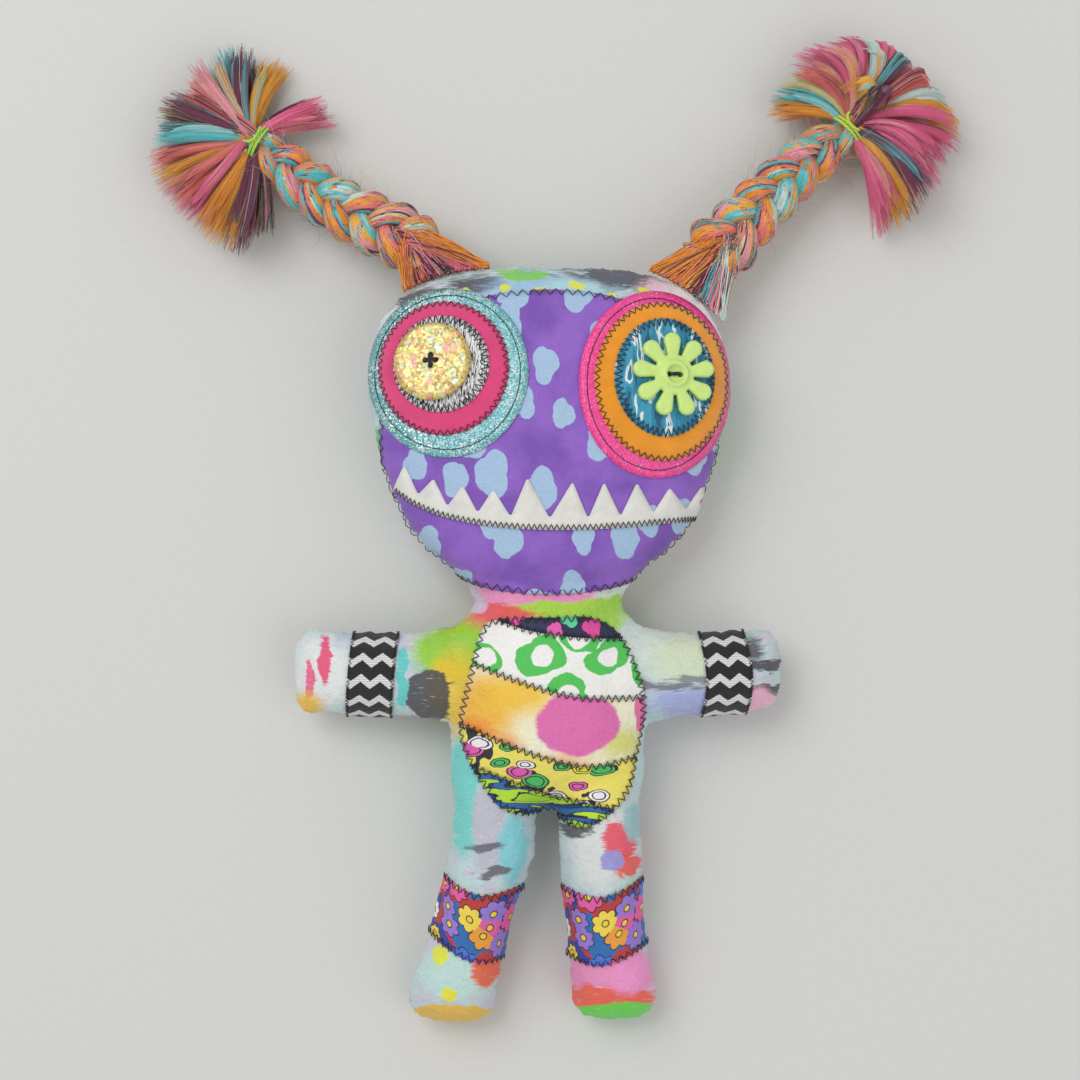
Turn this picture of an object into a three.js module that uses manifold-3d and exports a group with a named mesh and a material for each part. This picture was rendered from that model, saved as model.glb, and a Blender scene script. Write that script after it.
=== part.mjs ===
// A stuffed monster doll, lying on its back: a flat-cut rag body with big appliqued eyes, felt teeth,
// a patchwork tummy, ribbon cuffs and two plaits of wool roving that end in tassels.
// Millimetres. +X is the right of the doll as it is looked down on, +Y runs to its crown, +Z is up
// out of its face. The origin is on the surface that it lies on, under the middle of the tummy.
import * as THREE from "three";
import { mergeVertices } from "three/addons/utils/BufferGeometryUtils.js";
import Module from "manifold-3d";

// ---- Driving sizes: the cloth and the filling
const CLOTH = 0.9; // the printed cotton with its iron-on stiffener
const FELT = 1.1; // the tooth strip
const PATCH = 0.6; // every other appliqued layer
const GAP = 0.3; // between two pieces that touch
const SEAM_HEIGHT = 22.5; // of the side seam above the surface
const FLATTENED = 0.5; // how deep the back is pressed flat where it rests

// ---- Driving sizes: the head
const NECK_Y = 49.5; // where the neck bends
const NECK_HALF = 33.5;
const NECK_DEPTH = 15; // half thickness of the neck
const HEAD_HALF = 77;
const HEAD_WIDEST_Y = 134.4;
const CROWN_Y = 192.4;
const CROWN_SQUARENESS = 3; // 2 would be an ellipse
const HEAD_FRONT = 28;
const HEAD_BACK = 23;
// The jaw line, as [share of the way from neck to widest, share of the way out to the full half width]
const JAW_CURVE = [[0, 0], [0.14, 0.18], [0.26, 0.43], [0.38, 0.61], [0.56, 0.77], [0.73, 0.88], [1, 1]];

// ---- Driving sizes: the torso
const SHOULDER_HALF = 43; // half width of the chest
const SHOULDER_SLOPE = 13.5; // height of the slope from the neck down to the shoulder
const WAIST_HALF = 42.5;
const TORSO_DEPTH = 23;
const CROTCH_Y = -38;
const CROTCH_X = -1;
const CROTCH_ROUND = 14;

// ---- Driving sizes: the limbs. An arm runs along X and a leg along -Y
const SHOULDER_X = 50.6; // where an arm bends
const ARM_DEPTH = 13.5;
const ARM_DROOP = 6; // degrees, as the arms stand out of the chest at rest
const LEFT_ARM = { reach: 109.6, root: 20.5, wrist: 17.6, hand: 18.9, rootY: 18, wristY: 17.2, handY: 17.8 };
const RIGHT_ARM = { reach: 100.4, root: 20.5, wrist: 17.5, hand: 18, rootY: 17.6, wristY: 17.5, handY: 18.6 };
const HAND_ROUND = 11;
const HIP_Y = -54; // where a leg bends
const LEG_DEPTH = 16;
const LEFT_LEG = { reach: 131, thigh: 19.1, shin: 17.2, foot: 19.5, thighX: -23.7, shinX: -31.7, footX: -40.5 };
const RIGHT_LEG = { reach: 130, thigh: 18.9, shin: 16.8, foot: 18.9, thighX: 22.3, shinX: 23.7, footX: 28.1 };
const FOOT_ROUND = 12;
const JOINT_GAP = 0.6; // between a limb's round end and its socket in the torso

// ---- Driving sizes: the face
const FACE_PANEL = { x: 0.5, y: 116.5, half: 70.5, up: 62.5, down: 63.5 };
const LEFT_EYE = {
  outer: { x: -41, y: 144.5, half: 33, tall: 34.9 },
  middle: { x: -42.5, y: 146, half: 26.6, tall: 27.4 },
  inner: { x: -43.3, y: 147.6, half: 19.4, tall: 19.6 },
  button: { x: -46.7, y: 148.3 },
};
const RIGHT_EYE = {
  outer: { x: 43.8, y: 139.7, half: 31.4, tall: 38.5 },
  middle: { x: 46, y: 140.7, half: 27.1, tall: 32.3 },
  inner: { x: 47, y: 142.2, half: 20.2, tall: 24 },
  button: { x: 50.2, y: 142.8 },
};
const DISC_BUTTON_RADIUS = 16.3;
const DISC_BUTTON_THICKNESS = 3.6;
const FLOWER_RADIUS = 17.6;
const FLOWER_THICKNESS = 3.2;
const FLOWER_PETALS = 9;
const FLOWER_CUP_RADIUS = 5.6;
const FLOWER_CUP_HEIGHT = 1.6;
const BUTTON_HOLE_RADIUS = 1.1;
const BUTTON_HOLE_SPREAD = 2.3;
const THREAD_RADIUS = 0.6;
const MOUTH_LINE = [[-63.4, 97], [-54, 90.3], [-39, 84.4], [-15, 80.6], [15, 80], [40, 82], [64, 84.8]];
const GUM_HEIGHT = 5.2; // of the tooth strip from that line to the notches
// Each tooth, as the x of its tip and its height above the line
const TEETH = [
  [-58.8, 12.6], [-47, 13.6], [-34.9, 14.3], [-22.3, 14.6], [-8.4, 20.4],
  [9.7, 19], [22.7, 18.3], [36.1, 17], [49.6, 13.9], [63, 13.3],
];
const TOOTH_TIP_HALF = 0.8;

// ---- Driving sizes: the tummy, cuffs and leg bands. A line is given by its [along, across] points
const TUMMY_OUTLINE = [
  [-27, 38], [-18.5, 42.8], [0, 43.5], [17.6, 43.3], [29, 36.5], [36, 24], [40.3, 7], [36.5, -15], [33, -29],
  [22, -40.5], [12, -43.5], [0, -38], [-12, -38.3], [-23, -32], [-34, -13], [-36.5, 0], [-33.5, 15],
];
const TUMMY_SEAMS = [
  [[-40, 49], [-4, 37.4], [42, 33.6]],
  [[-40, 27.5], [8.4, 11.5], [42, 10.3]],
  [[-40, 0.5], [11.8, -17.4], [42, -13.5]],
  [[-40, -14.5], [1.7, -30], [42, -38.5]],
];
const CUFF_HALF = 9.8;
const LEFT_CUFF = [[-6, -75.8], [17, -74], [40, -71.8]]; // the middle line of the ribbon, as [y, x]
const RIGHT_CUFF = [[-6, 72], [17, 75.6], [40, 71.8]];
const BAND_HALF = 14.6;
const LEFT_BAND = [[-50, -74], [-30, -86.2], [-8, -83]]; // the middle line of the band, as [x, y]
const RIGHT_BAND = [[4, -83], [22, -87.4], [44, -78]];

// ---- Driving sizes: the plaits. A plait is three strands of roving from its tuft to its tie
const STRAND_RADIUS = 3.6; // where a strand turns back at the side of the plait
const STRAND_SQUEEZE = 0.35; // share of that radius it loses where it crosses the middle
const STRAND_SWING = 7.4; // how far a strand swings to each side
const STRAND_RISE = 5; // how far it rises and dips
const STRAND_PITCH = 38; // length in which a strand comes back to its side
const TIE_SHARE = { radius: 0.66, swing: 0.62, rise: 0.8 }; // what is left of each under the tie
const TUFT_EDGE = 1.8; // half thickness where the tuft is sewn to the head
const TUFT_HALF = 15.5; // half width there
const TUFT_END = 7.4; // half thickness and half width where it is gathered
const TIE_CORD = 0.8; // radius of the yarn
const TIE_TURNS = 2;
const TIE_PITCH = 2 * TIE_CORD + 0.55; // from one turn of the yarn to the next
const TIE_STEPS = 14; // in one turn
const TASSEL_HEIGHT = 12.5; // of its middle above the surface
const LOCK_RADIUS = 6;
const LOCK_COUNT = 10;
const LOCK_TILT = 17; // degrees up or down, in turn
const LOCK_FAN = 236; // degrees that the locks fan over
// seam is the middle of the tuft along the crown, as a share of the head's half width. From that point of the
// seam, gathered is the tuft's narrow end and to is the far end of the plait
const LEFT_PLAIT = { seam: -43.5 / 77, gathered: [-15.95, 12.292], to: [-80.95, 56.292], bow: 5, reach: 37 };
const RIGHT_PLAIT = { seam: 60 / 77, gathered: [13.395, 17.434], to: [68.195, 69.034], bow: 2, reach: 38 };

// ---- Facets
const HEAD_FACETS = { straight: 6, round: 5, front: 8, back: 6 };
const TORSO_FACETS = { straight: 5, round: 2, front: 6, back: 4 };
const LIMB_FACETS = { straight: 4, round: 3, front: 6, back: 4 };
const LINING_SHARE = 0.6; // of the facets that the inside of the cloth has
const DISC_SIDES = 24;
const BAR_SIDES = 16;
const STRAND_SIDES = 6;
const STRAND_STEPS = 20;
const FAR = 400; // a length past everything

const wasm = await Module();
wasm.setup();

const rad = THREE.MathUtils.degToRad;

// ---- Solids and geometries

// A closed geometry as a solid that can be joined and cut.
function solidOf(geometry) {
  const bare = new THREE.BufferGeometry().setAttribute("position", geometry.getAttribute("position"));
  if (geometry.index) bare.setIndex(geometry.index);
  const merged = mergeVertices(bare, 1e-4);
  return new wasm.Manifold(
    new wasm.Mesh({
      numProp: 3,
      vertProperties: new Float32Array(merged.attributes.position.array),
      triVerts: new Uint32Array(merged.index.array),
    }),
  );
}

// A solid as a geometry with flat facets.
function geometryOf(solid) {
  const mesh = solid.getMesh();
  const indexed = new THREE.BufferGeometry()
    .setAttribute("position", new THREE.BufferAttribute(mesh.vertProperties, 3))
    .setIndex(new THREE.BufferAttribute(mesh.triVerts, 1));
  const flat = indexed.toNonIndexed();
  flat.computeVertexNormals();
  return flat;
}

function box(x0, x1, y0, y1, z0, z1) {
  const geometry = new THREE.BoxGeometry(x1 - x0, y1 - y0, z1 - z0);
  return geometry.translate((x0 + x1) / 2, (y0 + y1) / 2, (z0 + z1) / 2);
}

// The largest of the separate bodies that a cut has left.
function largest(solid) {
  return solid.decompose().reduce((a, b) => (b.volume() > a.volume() ? b : a));
}

// ---- Profiles

// A smooth curve through [position, value] pairs, level past both ends.
function smooth(pairs, at) {
  const last = pairs.length - 1;
  if (at <= pairs[0][0]) return pairs[0][1];
  if (at >= pairs[last][0]) return pairs[last][1];
  const i = pairs.findIndex(([position]) => position > at) - 1;
  const slope = (k) => {
    const before = pairs[Math.max(k - 1, 0)];
    const after = pairs[Math.min(k + 1, last)];
    return (after[1] - before[1]) / (after[0] - before[0]);
  };
  const [p0, v0] = pairs[i];
  const [p1, v1] = pairs[i + 1];
  const span = p1 - p0;
  const t = (at - p0) / span;
  return (
    v0 * (1 + 2 * t) * (1 - t) ** 2 +
    span * slope(i) * t * (1 - t) ** 2 +
    v1 * t * t * (3 - 2 * t) -
    span * slope(i + 1) * t * t * (1 - t)
  );
}

// Falls from 1 to 0 over the last stretch before a rounded tip; left is the distance to the tip.
function roundOff(left, stretch, squareness) {
  if (left >= stretch) return 1;
  return (1 - (1 - Math.max(left, 0) / stretch) ** squareness) ** (1 / squareness);
}

// A stuffed segment is described by functions of the distance s along it: its middle, its half width
// and its depth to the front and to the back of the seam. It runs from s = from, is widest up to
// s = full, and rounds off to its tip at s = to.
const headSegment = {
  from: NECK_Y - NECK_DEPTH - 2,
  full: HEAD_WIDEST_Y,
  to: CROWN_Y,
  middle: () => 0,
  half: (s) => {
    const share = (s - NECK_Y) / (HEAD_WIDEST_Y - NECK_Y);
    const jaw = NECK_HALF + (HEAD_HALF - NECK_HALF) * smooth(JAW_CURVE, share);
    return jaw * roundOff(CROWN_Y - s, CROWN_Y - HEAD_WIDEST_Y, CROWN_SQUARENESS);
  },
  depth: (s, full) => {
    const belly = (HEAD_WIDEST_Y + NECK_Y) / 2 + 25;
    const throat = [[NECK_Y, NECK_DEPTH], [NECK_Y + 7, NECK_DEPTH + 0.3]];
    const rise = smooth([...throat, [NECK_Y + 22, NECK_DEPTH + 0.6 * (full - NECK_DEPTH)], [belly, full]], s);
    return rise * roundOff(CROWN_Y - s, CROWN_Y - belly, 2);
  },
  front: (s) => headSegment.depth(s, HEAD_FRONT),
  back: (s) => headSegment.depth(s, HEAD_BACK),
};

const torsoSegment = {
  from: -NECK_Y - 3,
  full: -CROTCH_Y - CROTCH_ROUND,
  to: -CROTCH_Y,
  middle: () => 0,
  half: (s) => {
    const chest = SHOULDER_SLOPE - NECK_Y;
    const outline = [[-NECK_Y, NECK_HALF], [-NECK_Y + SHOULDER_SLOPE * 0.4, NECK_HALF + 3], [chest, SHOULDER_HALF - 1]];
    const side = smooth([...outline, [chest + 16, SHOULDER_HALF], [0, WAIST_HALF], [-CROTCH_Y, WAIST_HALF]], s);
    return side * roundOff(-CROTCH_Y - s, CROTCH_ROUND, 3);
  },
  front: (s) => {
    const collar = [[-NECK_Y, NECK_DEPTH], [-NECK_Y + 5, NECK_DEPTH + 0.5]];
    const rise = smooth([...collar, [-NECK_Y + 20, TORSO_DEPTH - 2.5], [-10, TORSO_DEPTH]], s);
    return rise * roundOff(-CROTCH_Y - s, 40, 2);
  },
  back: (s) => torsoSegment.front(s),
};

function armSegment(arm, side) {
  const wristAt = (SHOULDER_X + arm.reach) / 2;
  const handAt = arm.reach - HAND_ROUND - 2;
  const depth = (s) => {
    const fullness = smooth([[20, ARM_DEPTH + 2], [SHOULDER_X, ARM_DEPTH], [wristAt, ARM_DEPTH - 0.8], [handAt, ARM_DEPTH]], s);
    return fullness * roundOff(arm.reach - s, 2.2 * HAND_ROUND, 2);
  };
  return {
    from: 20,
    full: arm.reach - 2 * HAND_ROUND,
    to: arm.reach,
    middle: (s) => side * smooth([[SHOULDER_X, arm.rootY], [wristAt, arm.wristY], [handAt, arm.handY]], s),
    half: (s) => {
      const width = smooth([[SHOULDER_X - 8, arm.root], [SHOULDER_X + 10, arm.wrist + 0.5], [wristAt, arm.wrist], [handAt, arm.hand]], s);
      return width * roundOff(arm.reach - s, HAND_ROUND, 3);
    },
    front: depth,
    back: depth,
  };
}

function legSegment(leg) {
  const shinAt = (leg.reach - HIP_Y) / 2 - 10;
  const footAt = leg.reach - FOOT_ROUND - 4;
  const depth = (s) => {
    const fullness = smooth([[20, LEG_DEPTH + 2], [-HIP_Y, LEG_DEPTH], [shinAt, LEG_DEPTH - 1], [footAt, LEG_DEPTH - 0.5]], s);
    return fullness * roundOff(leg.reach - s, 2.2 * FOOT_ROUND, 2);
  };
  return {
    from: 20,
    full: leg.reach - 2 * FOOT_ROUND,
    to: leg.reach,
    middle: (s) => -smooth([[20, leg.thighX], [-HIP_Y, leg.thighX], [shinAt, leg.shinX], [footAt, leg.footX]], s),
    half: (s) => {
      const width = smooth([[20, leg.thigh - 2], [-HIP_Y, leg.thigh], [shinAt, leg.shin], [footAt, leg.foot]], s);
      return width * roundOff(leg.reach - s, FOOT_ROUND, 2.6);
    },
    front: depth,
    back: depth,
  };
}

// The skin of a segment, inset by a distance, as a loft of lens-shaped sections along Y.
function loft(segment, inset, facets) {
  const { straight, round, front, back } = facets;
  const positions = [];
  const along = straight + round;
  const points = front + back;
  const tip = segment.to - inset;
  for (let j = 0; j <= along; j++) {
    const bend = Math.sin((Math.max(j - straight, 0) / (round + 1)) * (Math.PI / 2));
    const s =
      j <= straight
        ? segment.from + ((segment.full - segment.from) * j) / straight
        : segment.full + (segment.to - segment.full) * bend;
    const shrunk = (value) => Math.max(value - inset, 0.4);
    const half = shrunk(segment.half(s));
    for (let k = 0; k < points; k++) {
      const angle = k < front ? (Math.PI * k) / front : Math.PI * (1 + (k - front) / back);
      const depth = shrunk(k <= front ? segment.front(s) : segment.back(s));
      positions.push(segment.middle(s) + half * Math.cos(angle), s, depth * Math.sin(angle));
    }
  }
  const start = (along + 1) * points;
  positions.push(segment.middle(segment.from), segment.from, 0);
  positions.push(segment.middle(tip), tip, 0);
  const index = [];
  for (let k = 0; k < points; k++) {
    const next = (k + 1) % points;
    index.push(start, k, next);
    for (let j = 0; j < along; j++) {
      const [a, b, c, d] = [j * points + k, j * points + next, (j + 1) * points + k, (j + 1) * points + next];
      index.push(a, c, b, b, c, d);
    }
    index.push(along * points + k, start + 1, along * points + next);
  }
  return new THREE.BufferGeometry()
    .setAttribute("position", new THREE.Float32BufferAttribute(positions, 3))
    .setIndex(index);
}

// ---- The stuffed body

const bodyParts = {
  head: { segment: headSegment, turn: 0, facets: HEAD_FACETS },
  torso: { segment: torsoSegment, turn: 180, facets: TORSO_FACETS },
  left_arm: { segment: armSegment(LEFT_ARM, 1), turn: 90, facets: LIMB_FACETS },
  right_arm: { segment: armSegment(RIGHT_ARM, -1), turn: -90, facets: LIMB_FACETS },
  left_leg: { segment: legSegment(LEFT_LEG), turn: 180, facets: LIMB_FACETS },
  right_leg: { segment: legSegment(RIGHT_LEG), turn: 180, facets: LIMB_FACETS },
};

// The whole body in one piece, flat on its seam plane, inset by a distance from its outside.
const bodies = new Map();
function wholeBody(inset, share = 1) {
  const key = `${inset.toFixed(3)} ${share}`;
  if (!bodies.has(key)) {
    const fewer = (facets) => ({
      straight: facets.straight,
      round: Math.max(Math.floor(facets.round * share), 2),
      front: 2 * Math.ceil((facets.front * share) / 2),
      back: 2 * Math.ceil((facets.back * share) / 2),
    });
    const lofts = Object.values(bodyParts).map((part) =>
      solidOf(loft(part.segment, inset, fewer(part.facets)).rotateZ(rad(part.turn))),
    );
    bodies.set(key, lofts.reduce((joined, next) => joined.add(next)));
  }
  return bodies.get(key);
}

// A round bar along X or Y between two ends: a limb ends in it, and the torso has a socket for it.
function bar(radius, along, ends, at) {
  const [low, high] = ends;
  const round = new THREE.CylinderGeometry(radius, radius, high - low, BAR_SIDES);
  round.rotateY(Math.PI / BAR_SIDES);
  if (along === "x") round.rotateZ(Math.PI / 2).translate((low + high) / 2, at, 0);
  else round.translate(at, (low + high) / 2, 0);
  return solidOf(round);
}

// Each joint: where it is, what bends about it, and the region that leaves the torso, grown by a gap.
const X_AXIS = new THREE.Vector3(1, 0, 0);
const Y_AXIS = new THREE.Vector3(0, 1, 0);

function armJoint(arm, side) {
  const across = [arm.rootY - arm.root, arm.rootY + arm.root];
  const grown = (gap) => [across[0] - gap, across[1] + gap];
  const ends = side < 0 ? [-FAR, -SHOULDER_X] : [SHOULDER_X, FAR];
  return {
    axis: Y_AXIS,
    at: new THREE.Vector3(side * SHOULDER_X, 0, 0),
    region: (gap) =>
      solidOf(box(...ends, ...grown(gap), -FAR, FAR)).add(
        bar(ARM_DEPTH + 0.8 + gap, "y", grown(gap), side * SHOULDER_X),
      ),
  };
}

function legJoint(side) {
  const ends = (gap) => (side < 0 ? [-FAR, CROTCH_X - 1 + gap] : [CROTCH_X + 1 - gap, FAR]);
  return {
    axis: X_AXIS,
    at: new THREE.Vector3(0, HIP_Y, 0),
    region: (gap) =>
      solidOf(box(...ends(gap), -FAR, HIP_Y, -FAR, FAR)).add(bar(LEG_DEPTH + 0.8 + gap, "x", ends(gap), HIP_Y)),
  };
}

const neckEnds = (gap) => [-NECK_HALF - 1.4 - gap, NECK_HALF + 1.4 + gap];
const joints = {
  head: {
    axis: X_AXIS,
    at: new THREE.Vector3(0, NECK_Y, 0),
    region: (gap) =>
      solidOf(box(-FAR, FAR, NECK_Y, FAR, -FAR, FAR)).add(bar(NECK_DEPTH + 1.1 + gap, "x", neckEnds(gap), NECK_Y)),
  },
  left_arm: armJoint(LEFT_ARM, -1),
  right_arm: armJoint(RIGHT_ARM, 1),
  left_leg: legJoint(-1),
  right_leg: legJoint(1),
};
const leavesTorso = (gap) =>
  Object.values(joints)
    .map((joint) => joint.region(gap))
    .reduce((joined, next) => joined.add(next));
const outOfTorso = leavesTorso(JOINT_GAP);

// What belongs to a stuffed piece out of anything that is cut from the whole body.
const belongsTo = (name) => (body) =>
  name === "torso" ? body.subtract(outOfTorso) : body.intersect(joints[name].region(0));

// How far a leg droops, in radians, until its back is pressed into the surface by its flattening.
function droopOf(segment, hingeAt) {
  const lowest = (angle) => {
    let low = FAR;
    for (let s = hingeAt; s <= segment.to; s += 1) {
      const across = segment.back(s) * Math.cos(angle);
      low = Math.min(low, SEAM_HEIGHT - (s - hingeAt) * Math.sin(angle) - across);
    }
    return low;
  };
  let [shallow, steep] = [0, 0.5];
  for (let i = 0; i < 30; i++) {
    const angle = (shallow + steep) / 2;
    if (lowest(angle) > -FLATTENED) shallow = angle;
    else steep = angle;
  }
  return steep;
}
joints.head.droop = 0;
joints.left_arm.droop = -rad(ARM_DROOP);
joints.right_arm.droop = rad(ARM_DROOP);
joints.left_leg.droop = droopOf(bodyParts.left_leg.segment, -HIP_Y);
joints.right_leg.droop = droopOf(bodyParts.right_leg.segment, -HIP_Y);
joints.torso = { axis: X_AXIS, at: new THREE.Vector3(), droop: 0 };

// The placement of a piece at rest: turned about its joint by its droop, and raised to the seam's height.
function atRest({ axis, at, droop }) {
  const place = new THREE.Matrix4().makeTranslation(at.x, at.y, at.z + SEAM_HEIGHT);
  place.multiply(new THREE.Matrix4().makeRotationAxis(axis, droop));
  return place.multiply(new THREE.Matrix4().makeTranslation(-at.x, -at.y, -at.z));
}

// The solid below the surface, seen in the flat frame of a piece.
function belowSurface(joint) {
  return solidOf(box(-FAR, FAR, -FAR, FAR, -FAR, 0).applyMatrix4(atRest(joint).invert()));
}

// ---- The list of pieces

const doll = new THREE.Group();
doll.name = "stuffed_monster_doll";

function add(name, solid, joint, colour) {
  const material = new THREE.MeshStandardMaterial({ color: colour, roughness: 0.85 });
  const mesh = new THREE.Mesh(geometryOf(largest(solid)).applyMatrix4(atRest(joint)), material);
  mesh.name = name;
  doll.add(mesh);
}

// Each stuffed piece has a front cloth, a back cloth and its filling.
const frontHalf = solidOf(box(-FAR, FAR, -FAR, FAR, GAP / 2, FAR));
const backHalf = solidOf(box(-FAR, FAR, -FAR, FAR, -FAR, -GAP / 2));
const lining = wholeBody(CLOTH, LINING_SHARE);
const stuffing = wholeBody(CLOTH + GAP, LINING_SHARE);
const CLOTH_COLOURS = {
  head: "#a9b4c6", torso: "#b9c2cc", left_arm: "#93b3c4", right_arm: "#b7cfc8", left_leg: "#a6c6cf", right_leg: "#d8c3cf",
};
const FILLING_COLOUR = "#f4f2ec";

for (const name of Object.keys(bodyParts)) {
  const joint = joints[name];
  const mine = belongsTo(name);
  const shell = mine(wholeBody(0)).subtract(lining);
  const pressed = belowSurface(joint);
  add(`${name}_front_cloth`, shell.intersect(frontHalf), joint, CLOTH_COLOURS[name]);
  add(`${name}_back_cloth`, shell.intersect(backHalf).subtract(pressed), joint, CLOTH_COLOURS[name]);
  add(`${name}_filling`, mine(stuffing), joint, FILLING_COLOUR);
}

// ---- Layers sewn to the front, each cut by its outline in plan and following what it lies on

// A closed outline of [x, y] points as a solid that stands on the seam plane.
function prism(points) {
  const shape = new THREE.Shape(points.map(([x, y]) => new THREE.Vector2(x, y)));
  return solidOf(new THREE.ExtrudeGeometry(shape, { depth: FAR, bevelEnabled: false }).translate(0, 0, GAP / 2));
}

// An oval whose upper and lower halves may differ.
function oval({ x, y, half, up, down, tall }, squareness = 2, sides = DISC_SIDES) {
  const power = 2 / squareness;
  return Array.from({ length: sides }, (_, i) => {
    const [c, s] = [Math.cos((2 * Math.PI * i) / sides), Math.sin((2 * Math.PI * i) / sides)];
    const reach = tall ?? (s > 0 ? up : down);
    return [x + half * Math.sign(c) * Math.abs(c) ** power, y + reach * Math.sign(s) * Math.abs(s) ** power];
  });
}

// A closed outline between two lines over an interval, along X, or along Y when turned.
function between(from, to, low, high, steps, turned = false) {
  const at = Array.from({ length: steps + 1 }, (_, i) => from + ((to - from) * i) / steps);
  const points = [...at.map((a) => [a, low(a)]), ...at.reverse().map((a) => [a, high(a)])];
  return turned ? points.map(([a, b]) => [b, a]).reverse() : points;
}

// A layer of a thickness, lifted off the cloth, under an outline.
const layer = (outline, lift, thickness) =>
  outline.intersect(wholeBody(-lift - thickness)).subtract(wholeBody(-lift));

const ON_CLOTH = GAP;
const ON_PANEL = ON_CLOTH + PATCH + GAP;
add("face_panel", layer(prism(oval(FACE_PANEL, 2.3, 36)), ON_CLOTH, PATCH), joints.head, "#8a5fc0");

// The tooth strip: a row of teeth on a gum that follows the mouth's lower line.
const lip = (x) => smooth(MOUTH_LINE, x);
const toothRow = [[MOUTH_LINE[0][0], lip(MOUTH_LINE[0][0])]];
TEETH.forEach(([x, height], i) => {
  const next = TEETH[i + 1];
  if (i === TEETH.length - 1) toothRow.push([x - TOOTH_TIP_HALF, lip(x) + height]);
  else toothRow.push([x - TOOTH_TIP_HALF, lip(x) + height], [x + TOOTH_TIP_HALF, lip(x) + height]);
  if (next) toothRow.push([(x + next[0]) / 2, lip((x + next[0]) / 2) + GUM_HEIGHT]);
});
const [mouthLeft, mouthRight] = [MOUTH_LINE[0][0], MOUTH_LINE[MOUTH_LINE.length - 1][0]];
toothRow.push([mouthRight, lip(mouthRight) + TEETH[TEETH.length - 1][1]]);
for (let i = 0; i < 12; i++) {
  const x = mouthRight + ((mouthLeft - mouthRight) * i) / 12;
  toothRow.push([x, lip(x)]);
}
add("tooth_strip", layer(prism(toothRow.reverse()), ON_PANEL, FELT), joints.head, "#f2f0ea");

// The eyes: three discs one on another, then a button.
function addEye(side, eye, names, colours) {
  let lift = ON_PANEL;
  names.forEach((name, i) => {
    const ring = [eye.outer, eye.middle, eye.inner][i];
    add(`${side}_${name}`, layer(prism(oval(ring)), lift, PATCH), joints.head, colours[i]);
    lift += PATCH + GAP;
  });
  return lift;
}
const leftLift = addEye("left", LEFT_EYE, ["eye_glitter_disc", "eye_felt_disc", "eye_print_disc"], ["#2f8f95", "#ea3f7c", "#d9d9dc"]);
const rightLift = addEye("right", RIGHT_EYE, ["eye_glitter_disc", "eye_felt_disc", "eye_print_disc"], ["#ff4fa0", "#f5a61d", "#4f86b8"]);

// The plane of the head's front under a point, as a placement whose +Z leaves the face.
function onFace({ x, y }, lift) {
  const height = (px, py) => {
    const half = headSegment.half(py) + lift;
    return (headSegment.front(py) + lift) * Math.sqrt(1 - (px / half) ** 2);
  };
  const slopes = [height(x + 1, y) - height(x - 1, y), height(x, y + 1) - height(x, y - 1)];
  const up = new THREE.Vector3(-slopes[0] / 2, -slopes[1] / 2, 1).normalize();
  const turn = new THREE.Quaternion().setFromUnitVectors(new THREE.Vector3(0, 0, 1), up);
  return new THREE.Matrix4().compose(new THREE.Vector3(x, y, height(x, y)), turn, new THREE.Vector3(1, 1, 1));
}
const drilled = (spots) =>
  spots
    .map(([x, y]) => {
      const hole = new THREE.CylinderGeometry(BUTTON_HOLE_RADIUS, BUTTON_HOLE_RADIUS, 40, 6);
      return solidOf(hole.rotateX(Math.PI / 2).translate(x, y, 0));
    })
    .reduce((joined, next) => joined.add(next));
const placedSolid = (geometry, place) => solidOf(geometry.clone().applyMatrix4(place));
const sunk = 1.6; // how far a button reaches below its seat before it is hollowed to follow it

// A round domed button with four holes.
const domeProfile = [[0, -sunk], [1, -sunk], [1, 0.45], [0.93, 0.75], [0.7, 0.95], [0, 1]].map(
  ([out, up]) => new THREE.Vector2(out * DISC_BUTTON_RADIUS, up < 0 ? up : up * DISC_BUTTON_THICKNESS),
);
const dome = solidOf(new THREE.LatheGeometry(domeProfile, DISC_SIDES).rotateX(Math.PI / 2));
const spread = BUTTON_HOLE_SPREAD;
const fourHoles = [[-spread, 0], [spread, 0], [0, -spread], [0, spread]];
const leftSeat = onFace(LEFT_EYE.button, leftLift);
const seated = (solid, place, lift) => solid.transform(place.elements).subtract(wholeBody(-lift));
add("left_eye_button", seated(dome.subtract(drilled(fourHoles)), leftSeat, leftLift), joints.head, "#d8b83a");

// A flower button with two holes in its raised cup.
const petalRing = FLOWER_RADIUS * 0.72;
const petalRadius = FLOWER_RADIUS - petalRing;
const bloom = new THREE.Shape();
for (let i = 0; i < FLOWER_PETALS; i++) {
  const angle = (2 * Math.PI * i) / FLOWER_PETALS + 0.2;
  bloom.absarc(petalRing * Math.cos(angle), petalRing * Math.sin(angle), petalRadius, angle - 1.4, angle + 1.4);
}
const petals = new THREE.ExtrudeGeometry(bloom, { depth: FLOWER_THICKNESS + sunk, bevelEnabled: false, curveSegments: 2 });
const cupTop = FLOWER_THICKNESS + FLOWER_CUP_HEIGHT;
const cupProfile = [
  [0, 0], [FLOWER_CUP_RADIUS, 0], [FLOWER_CUP_RADIUS, cupTop - 0.5], [FLOWER_CUP_RADIUS - 0.8, cupTop],
  [FLOWER_CUP_RADIUS - 1.6, cupTop], [FLOWER_CUP_RADIUS - 2.4, FLOWER_THICKNESS + 0.3], [0, FLOWER_THICKNESS],
].map(([out, up]) => new THREE.Vector2(out, up));
const cup = solidOf(new THREE.LatheGeometry(cupProfile, 14).rotateX(Math.PI / 2));
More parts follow.
